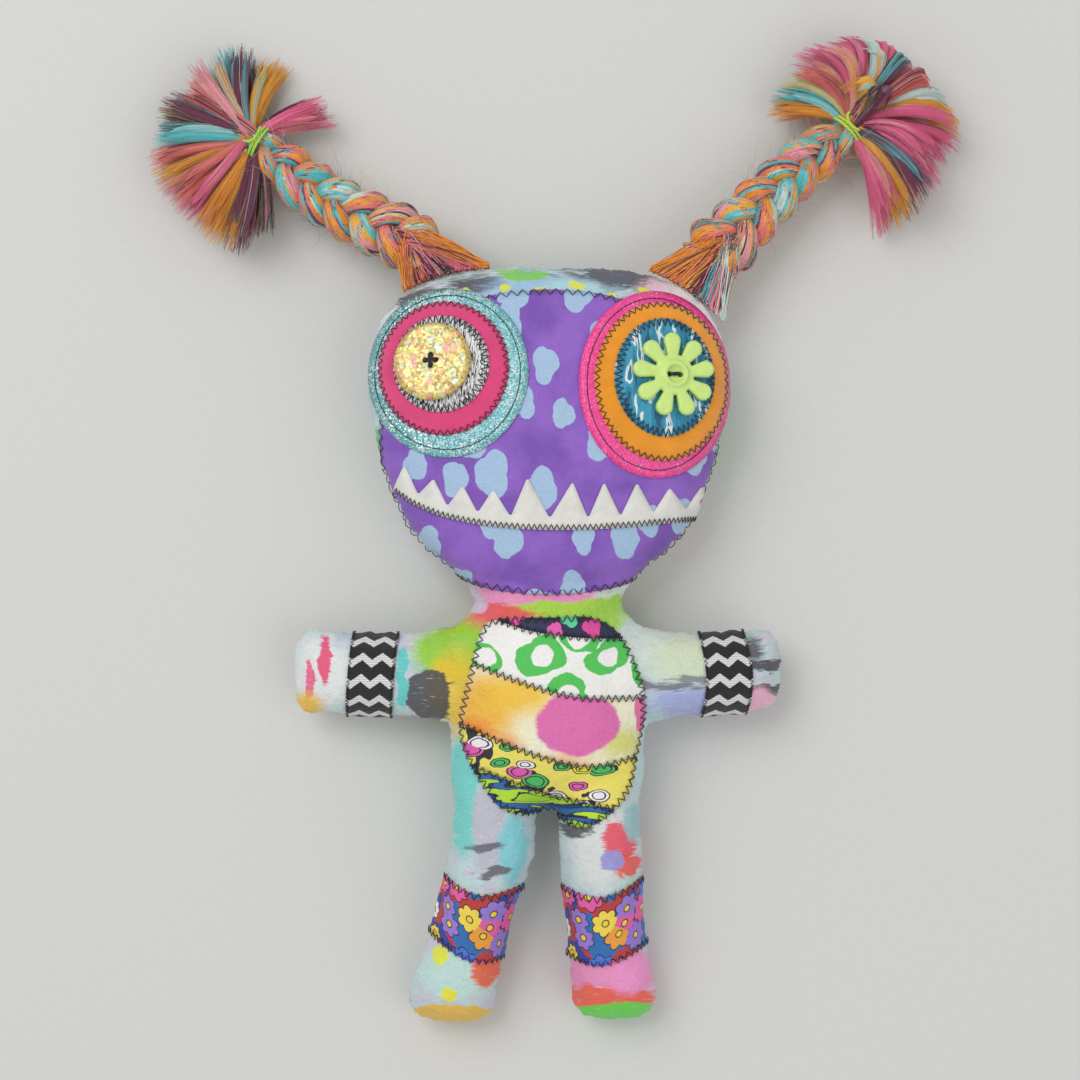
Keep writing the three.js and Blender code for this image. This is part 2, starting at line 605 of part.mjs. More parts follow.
const cupHollow = solidOf(
  new THREE.CylinderGeometry(FLOWER_CUP_RADIUS - 1.7, FLOWER_CUP_RADIUS - 2.4, 6, 14)
    .rotateX(Math.PI / 2)
    .translate(0, 0, FLOWER_THICKNESS + 3.2),
);
const twoHoles = [[-spread, 0], [spread, 0]];
const flower = solidOf(petals.translate(0, 0, -sunk)).add(cup).subtract(cupHollow).subtract(drilled(twoHoles));
const rightSeat = onFace(RIGHT_EYE.button, rightLift);
add("right_eye_button", seated(flower, rightSeat, rightLift), joints.head, "#d8ff88");

// A rope through [at, radius] points, closed at both ends.
function rope(points, sides) {
  const last = points.length - 1;
  const positions = [];
  let normal = new THREE.Vector3(0.05, 0.02, 1);
  points.forEach(({ at, radius }, j) => {
    const forward = points[Math.min(j + 1, last)].at.clone().sub(points[Math.max(j - 1, 0)].at).normalize();
    normal = normal.clone().addScaledVector(forward, -normal.dot(forward)).normalize();
    const beside = new THREE.Vector3().crossVectors(forward, normal);
    for (let k = 0; k < sides; k++) {
      const angle = (2 * Math.PI * k) / sides;
      const point = at.clone().addScaledVector(normal, radius * Math.cos(angle));
      positions.push(...point.addScaledVector(beside, radius * Math.sin(angle)));
    }
  });
  positions.push(...points[0].at, ...points[last].at);
  const start = (last + 1) * sides;
  const index = [];
  for (let k = 0; k < sides; k++) {
    const next = (k + 1) % sides;
    index.push(start, next, k, start + 1, last * sides + k, last * sides + next);
    for (let j = 0; j < last; j++) {
      const [a, b, c, d] = [j * sides + k, j * sides + next, (j + 1) * sides + k, (j + 1) * sides + next];
      index.push(a, b, c, b, d, c);
    }
  }
  return new THREE.BufferGeometry()
    .setAttribute("position", new THREE.Float32BufferAttribute(positions, 3))
    .setIndex(index);
}

// A stitch of thread that goes down one hole, under nothing else, and up another.
function stitch([ax, ay], [bx, by], top, depth) {
  const path = [[0, -depth], [0, top - 0.4], [0.12, top + 0.3], [0.5, top + 0.7], [0.88, top + 0.3], [1, top - 0.4], [1, -depth]];
  const points = path.map(([share, z]) => ({
    at: new THREE.Vector3(ax + (bx - ax) * share, ay + (by - ay) * share, z),
    radius: THREAD_RADIUS,
  }));
  return solidOf(rope(points, 5));
}
const discTop = DISC_BUTTON_THICKNESS + THREAD_RADIUS;
const crossed = stitch(fourHoles[0], fourHoles[1], discTop, 0).add(stitch(fourHoles[2], fourHoles[3], discTop, 0));
add("left_button_thread", crossed.transform(leftSeat.elements), joints.head, "#1b1b1d");
const flowerTop = FLOWER_THICKNESS + THREAD_RADIUS;
const single = stitch(twoHoles[0], twoHoles[1], flowerTop, 0);
add("right_button_thread", single.transform(rightSeat.elements), joints.head, "#20242c");

// The patchwork tummy: one outline, cut across by four seams.
const tummyCurve = new THREE.CatmullRomCurve3(TUMMY_OUTLINE.map(([x, y]) => new THREE.Vector3(x, y, 0)), true);
const tummyOutline = tummyCurve.getPoints(34).slice(0, -1).map(({ x, y }) => [x, y]).reverse();
const tummy = layer(prism(tummyOutline), ON_CLOTH, PATCH).subtract(outOfTorso);
const edgeLines = [() => 90, ...TUMMY_SEAMS.map((line) => (x) => smooth(line, x)), () => -90];
const STRIPS = [["collar", "#32406b"], ["upper", "#8fd08a"], ["middle", "#f08a6a"], ["lower", "#c6b84a"], ["bottom", "#8fd02f"]];
STRIPS.forEach(([name, colour], i) => {
  const [high, low] = [edgeLines[i], edgeLines[i + 1]];
  const strip = prism(between(-60, 60, (x) => low(x) + GAP / 2, (x) => high(x) - GAP / 2, 14));
  add(`tummy_${name}_patch`, tummy.intersect(strip), joints.torso, colour);
});

// The ribbon cuffs and the printed leg bands, sewn down at both side seams.
function addBand(name, line, half, ends, turned, joint, colour) {
  const middle = (a) => smooth(line, a);
  const outline = between(...ends, (a) => middle(a) - half, (a) => middle(a) + half, 6, turned);
  add(name, belongsTo(name.split("_").slice(0, 2).join("_"))(layer(prism(outline), ON_CLOTH, PATCH)), joint, colour);
}
addBand("left_arm_ribbon", LEFT_CUFF, CUFF_HALF, [-10, 46], true, joints.left_arm, "#17171a");
addBand("right_arm_ribbon", RIGHT_CUFF, CUFF_HALF, [-10, 46], true, joints.right_arm, "#17171a");
addBand("left_leg_band", LEFT_BAND, BAND_HALF, [-60, -2], false, joints.left_leg, "#d98a7a");
addBand("right_leg_band", RIGHT_BAND, BAND_HALF, [0, 56], false, joints.right_leg, "#7fa3cf");

// ---- The plaits

// The point of the crown's outline at an x, and the direction that leaves the head there.
function crownAt(x) {
  let [low, high] = [HEAD_WIDEST_Y, CROWN_Y];
  for (let i = 0; i < 40; i++) {
    const y = (low + high) / 2;
    if (headSegment.half(y) > Math.abs(x)) low = y;
    else high = y;
  }
  const slope = headSegment.half(low - 0.5) - headSegment.half(low + 0.5);
  return { point: new THREE.Vector3(x, low, 0), outward: new THREE.Vector3(Math.sign(x), slope, 0).normalize() };
}

function addPlait(side, plait, colours) {
  const { point, outward } = crownAt(plait.seam * HEAD_HALF);
  const seam = point.addScaledVector(outward, TUFT_EDGE + GAP);
  const gathered = seam.clone().add(new THREE.Vector3(...plait.gathered, 0));
  const tie = seam.clone().add(new THREE.Vector3(...plait.to, 0));
  const hinge = new THREE.Vector3(outward.y, -outward.x, 0);
  const run = tie.clone().sub(gathered);
  const length = run.length();
  const heading = run.clone().normalize();
  const across = new THREE.Vector3(-heading.y, heading.x, 0);
  const drop = SEAM_HEIGHT - TASSEL_HEIGHT;
  const joint = { axis: hinge, at: seam, droop: -Math.asin(drop / tie.clone().sub(seam).dot(outward)) };
  const pressed = belowSurface(joint);
  const socket = (gap) => {
    const round = new THREE.CylinderGeometry(TUFT_END + gap, TUFT_END + gap, 60, 20).rotateX(Math.PI / 2);
    return solidOf(round.translate(gathered.x, gathered.y, 0));
  };

  // The tuft: a thin edge along the head's seam, gathered to the round end that the plait swings about.
  const edge = new THREE.CylinderGeometry(TUFT_EDGE, TUFT_EDGE, 2 * TUFT_HALF, 8).rotateZ(Math.PI / 2);
  edge.rotateZ(Math.atan2(hinge.y, hinge.x)).translate(seam.x, seam.y, 0);
  const knob = new THREE.SphereGeometry(TUFT_END, 14, 8).rotateX(Math.PI / 2).translate(gathered.x, gathered.y, 0);
  add(`${side}_braid_tuft`, wasm.Manifold.hull([solidOf(edge), solidOf(knob)]), joint, colours[0]);

  // The three strands, which cross over and under one another.
  const line = (t) => gathered.clone().addScaledVector(run, t).addScaledVector(across, plait.bow * Math.sin(Math.PI * t));
  const toEnd = (t, share) => 1 - (1 - share) * THREE.MathUtils.smoothstep(t, 0.72, 0.97);
  const wrapped = 1 - 3 / length;
  const phaseAt = (t) => (2 * Math.PI * (t - wrapped) * length) / STRAND_PITCH;
  const place = new THREE.Matrix4().makeRotationZ(Math.atan2(heading.y, heading.x)).setPosition(line(wrapped));
  const inPlace = (x0, x1, half) => solidOf(box(x0, x1, -half, half, -FAR, FAR)).transform(place.elements);
  const first = (0.9 * TUFT_END) / length;
  for (let k = 0; k < 3; k++) {
    const points = Array.from({ length: STRAND_STEPS + 1 }, (_, i) => {
      const t = first + (1.02 - first) * (i / STRAND_STEPS);
      const phase = phaseAt(t) + (2 * Math.PI * k) / 3;
      const swing = STRAND_SWING * toEnd(t, TIE_SHARE.swing) * Math.cos(phase);
      const rise = STRAND_RISE * toEnd(t, TIE_SHARE.rise) * Math.sin(2 * phase);
      const radius = STRAND_RADIUS * toEnd(t, TIE_SHARE.radius) * (1 - STRAND_SQUEEZE * Math.sin(phase) ** 2);
      return { at: line(t).addScaledVector(across, swing).setZ(rise), radius };
    });
    const strand = solidOf(rope(points, STRAND_SIDES));
    add(`${side}_braid_strand_${k + 1}`, strand.subtract(socket(GAP)).subtract(inPlace(3, FAR, FAR)), joint, colours[k + 1]);
  }

  // The yarn wound round the end as one unbroken cord, and the tassel of loose locks beyond it.
  const tieStart = wrapped - (TIE_TURNS * TIE_PITCH + TIE_CORD - 1.2) / length;
  const bundle =
    STRAND_SWING * toEnd(tieStart, TIE_SHARE.swing) + STRAND_RADIUS * toEnd(tieStart, TIE_SHARE.radius);
  const ring = bundle + GAP + TIE_CORD;
  const winding = Array.from({ length: TIE_TURNS * TIE_STEPS + 1 }, (_, i) => {
    const angle = (2 * Math.PI * i) / TIE_STEPS;
    const along = TIE_PITCH * (i / TIE_STEPS - TIE_TURNS) + 1.2;
    return new THREE.Vector3(along, ring * Math.cos(angle), ring * Math.sin(angle)).applyMatrix4(place);
  });
  let apart = FAR;
  winding.forEach((a, i) => {
    for (let j = i + TIE_STEPS / 2; j < winding.length; j++) apart = Math.min(apart, a.distanceTo(winding[j]));
  });
  console.log(`${side} tie: least gap between its turns ${(apart - 2 * TIE_CORD).toFixed(2)} mm`);
  add(`${side}_braid_tie`, solidOf(rope(winding.map((at) => ({ at, radius: TIE_CORD })), 5)), joint, colours[4]);

  const root = line(wrapped).addScaledVector(heading, 4.5);
  const facing = Math.atan2(heading.y, heading.x);
  const locks = Array.from({ length: LOCK_COUNT }, (_, i) => {
    const turn = facing + rad(LOCK_FAN * (i / (LOCK_COUNT - 1) - 0.5));
    const tilt = rad(i % 2 ? LOCK_TILT : -LOCK_TILT);
    const out = new THREE.Vector3(Math.cos(turn) * Math.cos(tilt), Math.sin(turn) * Math.cos(tilt), Math.sin(tilt));
    const shape = [[0, 0.4], [0.3, 0.8], [0.6, 1], [0.85, 0.85], [1, 0.35]];
    const points = shape.map(([t, share]) => ({
      at: root.clone().addScaledVector(out, plait.reach * t),
      radius: LOCK_RADIUS * share,
    }));
    return solidOf(rope(points, 6));
  }).reduce((joined, next) => joined.add(next));
  const trimmed = locks.subtract(inPlace(-FAR, 3 + GAP, STRAND_SWING + STRAND_RADIUS + GAP));
  add(`${side}_braid_tassel`, trimmed.subtract(pressed), joint, colours[5]);
}

addPlait("left", LEFT_PLAIT, ["#8a3b2e", "#f09a2a", "#5a2338", "#f0687f", "#b6f03c", "#c9c47a"]);
addPlait("right", RIGHT_PLAIT, ["#3f9aa0", "#5fc9cf", "#f0687f", "#2a2a33", "#d6f03c", "#7fcfd0"]);

export default doll;
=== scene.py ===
"""Looks of a stuffed monster doll: the sewn and filled skin, the appliques with their stitches, the
buttons, and the two plaits of dyed roving. Lengths in the tables are in millimetres, in the frame's axes."""

import math

import bmesh
import bpy
import numpy as np
from mathutils import Matrix, Vector, geometry, noise
from mathutils.bvhtree import BVHTree


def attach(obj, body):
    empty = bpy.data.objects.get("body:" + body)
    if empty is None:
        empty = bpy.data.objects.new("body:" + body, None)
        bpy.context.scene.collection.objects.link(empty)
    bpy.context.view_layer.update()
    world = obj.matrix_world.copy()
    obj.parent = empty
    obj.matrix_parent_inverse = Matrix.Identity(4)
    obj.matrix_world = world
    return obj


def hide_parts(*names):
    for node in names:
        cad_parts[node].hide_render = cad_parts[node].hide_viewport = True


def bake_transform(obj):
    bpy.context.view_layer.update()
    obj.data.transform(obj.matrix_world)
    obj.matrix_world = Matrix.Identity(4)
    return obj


bl_info = {
    "name": "Stuffed Monster Doll",
    "version": (1, 0, 0),
    "blender": (4, 5, 0),
    "location": "View3D > Sidebar > Doll",
    "description": "Sews, fills and dresses a stuffed monster doll on its CAD frame",
    "category": "Object",
}

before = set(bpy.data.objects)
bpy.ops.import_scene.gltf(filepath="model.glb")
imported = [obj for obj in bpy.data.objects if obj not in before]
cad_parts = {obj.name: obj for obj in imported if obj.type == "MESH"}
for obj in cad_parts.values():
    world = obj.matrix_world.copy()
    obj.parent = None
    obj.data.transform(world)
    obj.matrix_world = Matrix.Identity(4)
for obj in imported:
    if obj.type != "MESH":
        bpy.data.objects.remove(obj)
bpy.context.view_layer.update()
UP = np.array([0, 0, 1.0])

MATH, VECTOR, RANGE = "ShaderNodeMath", "ShaderNodeVectorMath", "ShaderNodeMapRange"
NOISE = "ShaderNodeTexNoise"
ATTRIBUTE, CELLS = "GeometryNodeInputNamedAttribute", "ShaderNodeTexVoronoi"
SIGNS = {"+": "ADD", "-": "SUBTRACT", "*": "MULTIPLY", "/": "DIVIDE"}  # of maths nodes

MM = 0.001
SEAM_HEIGHT = 22.5  # of the side seam above the surface the doll lies on

# Where the skin bends: the joint, then where the bending starts and ends along one axis
NECK, NECK_BEND = 49.5, (42.0, 54.5)
SHOULDER, SHOULDER_BEND = 50.6, (41.5, 60.0)
HIP, HIP_BEND = -54.0, (-42.0, -64.0)
ARM_DROOP, LEFT_LEG_DROOP, RIGHT_LEG_DROOP = 6.0, 8.25, 8.4  # degrees


# Profiles of the filled body


def smooth(pairs, at):
    """A smooth curve through (position, value) pairs, level past both ends."""
    at = np.asarray(at, float)
    p, v = np.array(pairs, float).T
    before, after = np.maximum(np.arange(len(p)) - 1, 0), np.minimum(np.arange(len(p)) + 1, len(p) - 1)
    slope = (v[after] - v[before]) / (p[after] - p[before])
    i = np.clip(np.searchsorted(p, at, side="right") - 1, 0, len(p) - 2)
    span = p[i + 1] - p[i]
    t = np.clip((at - p[i]) / span, 0, 1)
    return (
        v[i] * (1 + 2 * t) * (1 - t) ** 2
        + span * slope[i] * t * (1 - t) ** 2
        + v[i + 1] * t * t * (3 - 2 * t)
        - span * slope[i + 1] * t * t * (1 - t)
    )


def round_off(left, stretch, squareness):
    """Falls from 1 to 0 over the last stretch before a rounded tip."""
    gone = 1 - np.clip(np.asarray(left, float), 0, stretch) / stretch
    return np.maximum(1 - gone**squareness, 0) ** (1 / squareness)


def ease(value, start, end):
    """0 before start and 1 after end, turning smoothly between them."""
    t = np.clip((np.asarray(value, float) - start) / (end - start), 0, 1)
    return t * t * (3 - 2 * t)


JAW = [(0, 0), (0.14, 0.18), (0.26, 0.43), (0.38, 0.61), (0.56, 0.77), (0.73, 0.88), (1, 1)]


CROWN = 192.4

# Each limb's reach, its widths from root to tip, where its middle line runs, and the axis and sign along it
LIMBS = [
    (109.6, (20.5, 17.6, 18.9), (18, 17.2, 17.8), (0, -1)),
    (100.4, (20.5, 17.5, 18), (17.6, 17.5, 18.6), (0, 1)),
    (131, (19.1, 17.2, 19.5), (-23.7, -31.7, -40.5), (1, -1)),
    (130, (18.9, 16.8, 18.9), (22.3, 23.7, 28.1), (1, -1)),
]


def head_half(s):
    """Half width of the head at a height s."""
    return (33.5 + 43.5 * smooth(JAW, (s - NECK) / 84.9)) * round_off(CROWN - s, 58, 3)


def head_depth(s, full):
    """Depth of the head in front of or behind its seam."""
    rise = smooth([(NECK, 15), (56.5, 15.3), (71.5, 15 + 0.6 * (full - 15)), (116.95, full)], s)
    return rise * round_off(CROWN - s, 75.45, 2)


def torso_half(s):
    """Half width of the torso at a distance s down from its middle."""
    side = [(-NECK, 33.5), (-44.1, 36.5), (-36, 42), (-20, 43), (0, 42.5), (38, 42.5)]
    return smooth(side, s) * round_off(38 - s, 14, 3)


def torso_depth(s):
    """Depth of the torso on each side of its seam."""
    return smooth([(-NECK, 15), (-44.5, 15.5), (-29.5, 20.5), (-10, 23)], s) * round_off(38 - s, 40, 2)


def limb_shape(reach, widths, middles, is_arm):
    """Middle, half width and depth of a limb as functions of the distance out along it, from its sizes."""
    root, narrow, end = widths
    if is_arm:
        at, wide = (SHOULDER + reach) / 2, reach - 13
        width = [(42.6, root), (60.6, narrow + 0.5), (at, narrow), (wide, end)]
        depth = [(20, 15.5), (SHOULDER, 13.5), (at, 12.7), (wide, 13.5)]
        middle, tip = list(zip((SHOULDER, at, wide), middles)), ((11, 3), (24.2, 2))
    else:
        at, wide = (reach - HIP) / 2 - 10, reach - 16
        width = [(20, root - 2), (-HIP, root), (at, narrow), (wide, end)]
        depth = [(20, 18), (-HIP, 16), (at, 15), (wide, 15.5)]
        middle, tip = list(zip((20, -HIP, at, wide), (middles[0], *middles))), ((12, 2.6), (26.4, 2))
    return (
        lambda s: smooth(middle, s),
        lambda s: smooth(width, s) * round_off(reach - s, *tip[0]),
        lambda s: smooth(depth, s) * round_off(reach - s, *tip[1]),
    )


def body_segments():
    """Each stuffed segment as (start, end, along axis and sign, middle, half width, front and back depth)."""
    still = lambda s: np.zeros_like(np.asarray(s, float))
    rows = [
        (34.5, CROWN, (1, 1), still, head_half, lambda s: head_depth(s, 28), lambda s: head_depth(s, 22.6)),
        (-52.5, 38, (1, -1), still, torso_half, torso_depth, torso_depth),
    ]
    for reach, *sizes, (axis, sign) in LIMBS:
        middle, half, depth = limb_shape(reach, *sizes, axis == 0)
        rows.append((20, reach, (axis, sign), middle, half, depth, depth))
    return rows


def turn_about(p, axis, hinge, angle):
    """Turns flat points in place, by an angle each, about a hinge that lies across one axis."""
    along, z = p[:, axis] - hinge, p[:, 2].copy()
    p[:, axis] = hinge + (along * np.cos(angle) - z * np.sin(angle))
    p[:, 2] = along * np.sin(angle) + z * np.cos(angle)


def settle(points):
    """Flat points turned about the joints by each limb's droop, and raised to the seam's height."""
    p = np.array(points, float)
    for side, droop in ((-1, LEFT_LEG_DROOP), (1, RIGHT_LEG_DROOP)):
        arm = ease(side * p[:, 0], *SHOULDER_BEND) * (np.abs(p[:, 1] - 17.5) < 30)
        turn_about(p, 0, side * SHOULDER, -side * math.radians(ARM_DROOP) * arm)
        leg = ease(-p[:, 1], -HIP_BEND[0], -HIP_BEND[1]) * (side * (p[:, 0] + 1) > 0)
        turn_about(p, 1, HIP, math.radians(droop) * leg)
    p[:, 2] += SEAM_HEIGHT
    return p


# Meshes


def linked(name, data):
    """A new object with its data, linked to the scene."""
    obj = bpy.data.objects.new(name, data)
    bpy.context.scene.collection.objects.link(obj)
    return obj


def new_object(name, vertices, faces, edges=()):
    """A mesh object from points in millimetres."""
    mesh = bpy.data.meshes.new(name)
    vertices = [tuple(v) for v in np.asarray(vertices, float) * MM]
    mesh.from_pydata(vertices, [tuple(e) for e in edges], [tuple(f) for f in faces])
    mesh.update()
    return linked(name, mesh)


def vertex_values(obj, what):
    """Three numbers of each vertex, as an array."""
    values = np.empty(len(obj.data.vertices) * 3)
    obj.data.vertices.foreach_get(what, values)
    return values.reshape(-1, 3)


def points_of(obj):
    """The object's vertices in millimetres, as an array."""
    return vertex_values(obj, "co") / MM


def set_points(obj, points):
    """Moves the object's vertices to points in millimetres."""
    obj.data.vertices.foreach_set("co", (np.asarray(points, float) * MM).ravel())
    obj.data.update()


def lay_cloth(obj, plan):
    """Lays the cloth's own map on the object: for each vertex, its place on the flat cloth in millimetres."""
    loops = np.empty(len(obj.data.loops), int)
    obj.data.loops.foreach_get("vertex_index", loops)
    layer = obj.data.uv_layers.new(name="cloth")
    layer.data.foreach_set("uv", (plan[loops] * MM).astype(np.float32).ravel())


def shade_smooth(obj):
    """Shades every face of the object smooth."""
    obj.data.polygons.foreach_set("use_smooth", [True] * len(obj.data.polygons))
    return obj


def applied(obj):
    """The object with its modifiers turned into plain mesh."""
    graph = bpy.context.evaluated_depsgraph_get()
    made = bpy.data.meshes.new_from_object(obj.evaluated_get(graph))
    obj.modifiers.clear()
    old, obj.data = obj.data, made
    bpy.data.meshes.remove(old)
    made.name = obj.name
    return obj


def resample(points, step, closed=True):
    """A polyline's points at equal steps along it."""
    p = np.asarray(points, float)
    if closed:
        p = np.vstack([p, p[:1]])
    run = np.concatenate([[0], np.cumsum(np.linalg.norm(np.diff(p, axis=0), axis=1))])
    count = max(int(round(run[-1] / step)), 3)
    at = np.linspace(0, run[-1], count + 1)
    if closed:
        at = at[:-1]
    return np.column_stack([np.interp(at, run, p[:, i]) for i in range(p.shape[1])])


def even_out(values, rounds, closed=True):
    """Smooths an ordered run of points."""
    v = np.array(values, float)
    for _ in range(rounds):
        if closed:
            v = 0.5 * v + 0.25 * (np.roll(v, 1, 0) + np.roll(v, -1, 0))
        else:
            v[1:-1] = 0.5 * v[1:-1] + 0.25 * (v[:-2] + v[2:])
    return v


def signed_area(p):
    """Twice the area inside a closed outline, negative where it runs clockwise."""
    x, y = p[:, 0], p[:, 1]
    return np.sum(x * np.roll(y, -1) - np.roll(x, -1) * y)


def doll_outline(step):
    """The outline of the whole body in its flat pattern: what each segment adds, chained in order."""
    segments = body_segments()
    runs = []
    for n, (start, end, (axis, sign), middle, half, _, _) in enumerate(segments):
        t = np.linspace(0, 1, 500)
        s = np.concatenate([start + (end - 14 - start) * t, end - 14 * np.cos(t[1:] * math.pi / 2)])
        rows = (np.column_stack([s, middle(s) + half(s)]), np.column_stack([s, middle(s) - half(s)])[::-1])
        ring = np.vstack(rows)
        p = np.empty_like(ring)
        p[:, axis], p[:, 1 - axis] = sign * ring[:, 0], ring[:, 1]
        hidden = np.zeros(len(p), bool)
        for m, (start2, end2, (axis2, sign2), middle2, half2, _, _) in enumerate(segments):
            if m != n:
                s2, a2 = sign2 * p[:, axis2], p[:, 1 - axis2]
                hidden |= (s2 > start2) & (s2 < end2) & (np.abs(a2 - middle2(s2)) < half2(s2))
        shown = np.flatnonzero(~hidden)
        runs += [p[run] for run in np.split(shown, np.flatnonzero(np.diff(shown) > 1) + 1) if len(run) > 6]
    path = runs.pop(0)
    while runs:
        ends = [[np.linalg.norm(path[-1] - r[k]) for k in (0, -1)] for r in runs]
        nearest = int(np.argmin([min(pair) for pair in ends]))
        run = runs.pop(nearest)
        path = np.vstack([path, run[::-1] if ends[nearest][1] < ends[nearest][0] else run])
    path = resample(even_out(resample(path, 0.8), 12), step)
    return path if signed_area(path) > 0 else path[::-1]


def inside(points, outline):
    """Which points lie inside a closed outline."""
    crossings = np.zeros(len(points), int)
    x, y = points[:, 0], points[:, 1]
    for p, q in zip(outline, np.roll(outline, -1, 0)):
        if p[1] != q[1]:
            at = p[0] + (y - p[1]) * (q[0] - p[0]) / (q[1] - p[1])
            crossings += ((p[1] > y) != (q[1] > y)) & (x < at)
    return crossings % 2 == 1


def distance_to(points, others):
    """Distance of each point of the plan from the nearest of some others."""
    far = np.full(len(points), 1e9)
    for p in others:
        far = np.minimum(far, np.hypot(*(points - p).T))
    return far


def fill_outline(outline, step, keep_off=0.62):
    """Points and triangles that fill a closed outline evenly. The outline's own points come first."""
    outline = np.asarray(outline, float)
    low, high = outline.min(0), outline.max(0)
    rows = enumerate(np.arange(low[1], high[1], step * 0.866))
    across = np.arange(low[0], high[0] + step, step)
    inner = np.array([(x + (step / 2 if j % 2 else 0), y) for j, y in rows for x in across])
    inner = inner[inside(inner, outline) & (distance_to(inner, outline) > step * keep_off)]
    edges = [(i, (i + 1) % len(outline)) for i in range(len(outline))]
    filled = geometry.delaunay_2d_cdt([Vector(p) for p in [*outline, *inner]], edges, [], 1, 1e-6)
    return np.array([tuple(v) for v in filled[0]]), [tuple(f) for f in filled[2]]


# The filled skin

CLOTH_STEP = 2.6  # edge length of the cloth that is filled, before it is subdivided
FILL_LIMIT = 3.0  # how far the filling may move a point


def lens_heights(x, y, edge):
    """Front and back heights of the filled body over a flat point; edge is its distance from the outline."""
    fronts, backs = [], []
    for start, end, (axis, sign), middle, half, front, back in body_segments():
        s, a = (sign * (y if axis else x)), (x if axis else y)
        width = np.maximum(half(np.clip(s, start, end)), 0.01)
        inside = (s > start) & (s < end)
        lens = np.sqrt(np.clip(1 - ((a - middle(s)) / width) ** 2, 0, 1)) * inside
        fade = ease(s, start, start + 12) if axis == 0 or start == 20 else 1.0
        fronts.append(front(s) * lens * fade)
        backs.append(back(s) * lens * fade)
    rim = np.sqrt(np.clip(1 - (1 - np.clip(edge / 9, 0, 1)) ** 2, 0, 1))
    join = lambda rows: (np.sum(np.array(rows) ** 5, 0)) ** 0.2 * rim
    return join(fronts), join(backs)


def sewn_panels():
    """The front and back panels in one shell, joined along the side seam and filled by their profiles."""
    outline = doll_outline(CLOTH_STEP * 0.9)
    flat, faces = fill_outline(outline, CLOTH_STEP)
    count = len(outline)
    edge = distance_to(flat, resample(outline, 0.7))
    edge[:count] = 0
    front, back = lens_heights(flat[:, 0], flat[:, 1], edge)
    twin = np.arange(len(flat))
    twin[count:] += len(flat) - count
    turned = [tuple(int(twin[i]) for i in f[::-1]) for f in faces]
    points = np.vstack([np.column_stack([flat, front]), np.column_stack([flat, -back])[count:]])
    obj = new_object("skin", points, [*faces, *turned])
    mesh = bmesh.new()
    mesh.from_mesh(obj.data)
    for _ in range(2):
        bmesh.ops.smooth_vert(mesh, verts=mesh.verts[count:], factor=0.5, use_axis_z=True)
    bmesh.ops.recalc_face_normals(mesh, faces=mesh.faces)
    mesh.to_mesh(obj.data)
    mesh.free()
    return obj


def fill_with_fibre(obj):
    """Puffs the shell as cloth under the pressure of its filling, with the movement of each point limited."""
    start = points_of(obj)
    cloth = obj.modifiers.new("filling", "CLOTH")
    setting = cloth.settings
    setting.quality, setting.mass, setting.air_damping = 4, 0.2, 2.0
    setting.tension_stiffness = setting.compression_stiffness = 12
    setting.bending_stiffness = 0.6
    setting.use_pressure, setting.uniform_pressure_force = True, 4
    setting.effector_weights.gravity = 0
    cloth.collision_settings.use_collision = False
    cloth.point_cache.frame_start, cloth.point_cache.frame_end = 1, 20
    for number in range(1, 21):
        bpy.context.scene.frame_set(number)
    applied(obj)
    bpy.context.scene.frame_set(1)
    moved = points_of(obj) - start
    far = np.linalg.norm(moved, axis=1)
    set_points(obj, start + moved * (np.minimum(far, FILL_LIMIT) / np.maximum(far, 1e-6))[:, None])


def pinch_seam(obj):
    """Pulls the skin in along its side seam, with small puckers that run across the seam."""
    p, normals = points_of(obj), vertex_values(obj, "normal")
    off, reach = p[:, 2].copy(), np.hypot(normals[:, 0], normals[:, 1])
    for i in range(len(p)):
        q = Vector(p[i])
        lump = noise.noise(q / 24.0) * 0.55 + noise.noise(q / 9.0) * 0.22
        rim = math.exp(-((off[i] / 7.0) ** 2)) * reach[i]
        pucker = noise.noise(Vector((q.x, q.y, 0.0)) / 3.4) + 0.6 * noise.noise(Vector((q.y, q.x, 7.0)) / 6.5)
        groove = 0.55 * math.exp(-((off[i] / 1.1) ** 2)) * reach[i]
        p[i] += normals[i] * (lump * 0.8 + rim * pucker * 0.75 - groove)
    set_points(obj, p)


def lie_down(obj):
    """Brings the flat skin to rest: limbs droop, and what lies on the surface is pressed flat."""
    p = settle(points_of(obj))
    low = np.clip(p[:, 2], None, 6.0)
    p[:, 2] = np.where(p[:, 2] < 2.0, 0.05 + 1.95 * np.exp((low - 2.0) / 1.95), p[:, 2])
    set_points(obj, p)


# Planes that cut each piece from the skin: axis, place, and the side that is kept, or 0 for both
CUTS = {
    "torso": [
        (0, SHOULDER_BEND[0], 0), (0, -SHOULDER_BEND[0], 0), (1, NECK_BEND[0], 0), (1, HIP_BEND[0], 0),
        (1, -8, 0),
    ],
    "head": [(1, NECK_BEND[0], 1)],
    "left_arm": [(0, -SHOULDER_BEND[0], -1), (1, NECK_BEND[0], -1), (1, -8, 1)],
    "right_arm": [(0, SHOULDER_BEND[0], 1), (1, NECK_BEND[0], -1), (1, -8, 1)],
    "left_leg": [(1, HIP_BEND[0], -1), (0, -1, -1)],
    "right_leg": [(1, HIP_BEND[0], -1), (0, -1, 1)],
}


def in_a_limb(face):
    """Whether a limb's piece takes a face of the skin."""
    x, y, _ = face.calc_center_median() / MM
    return not HIP_BEND[0] <= y <= NECK_BEND[0] or (abs(x) > SHOULDER_BEND[0] and y > -8)


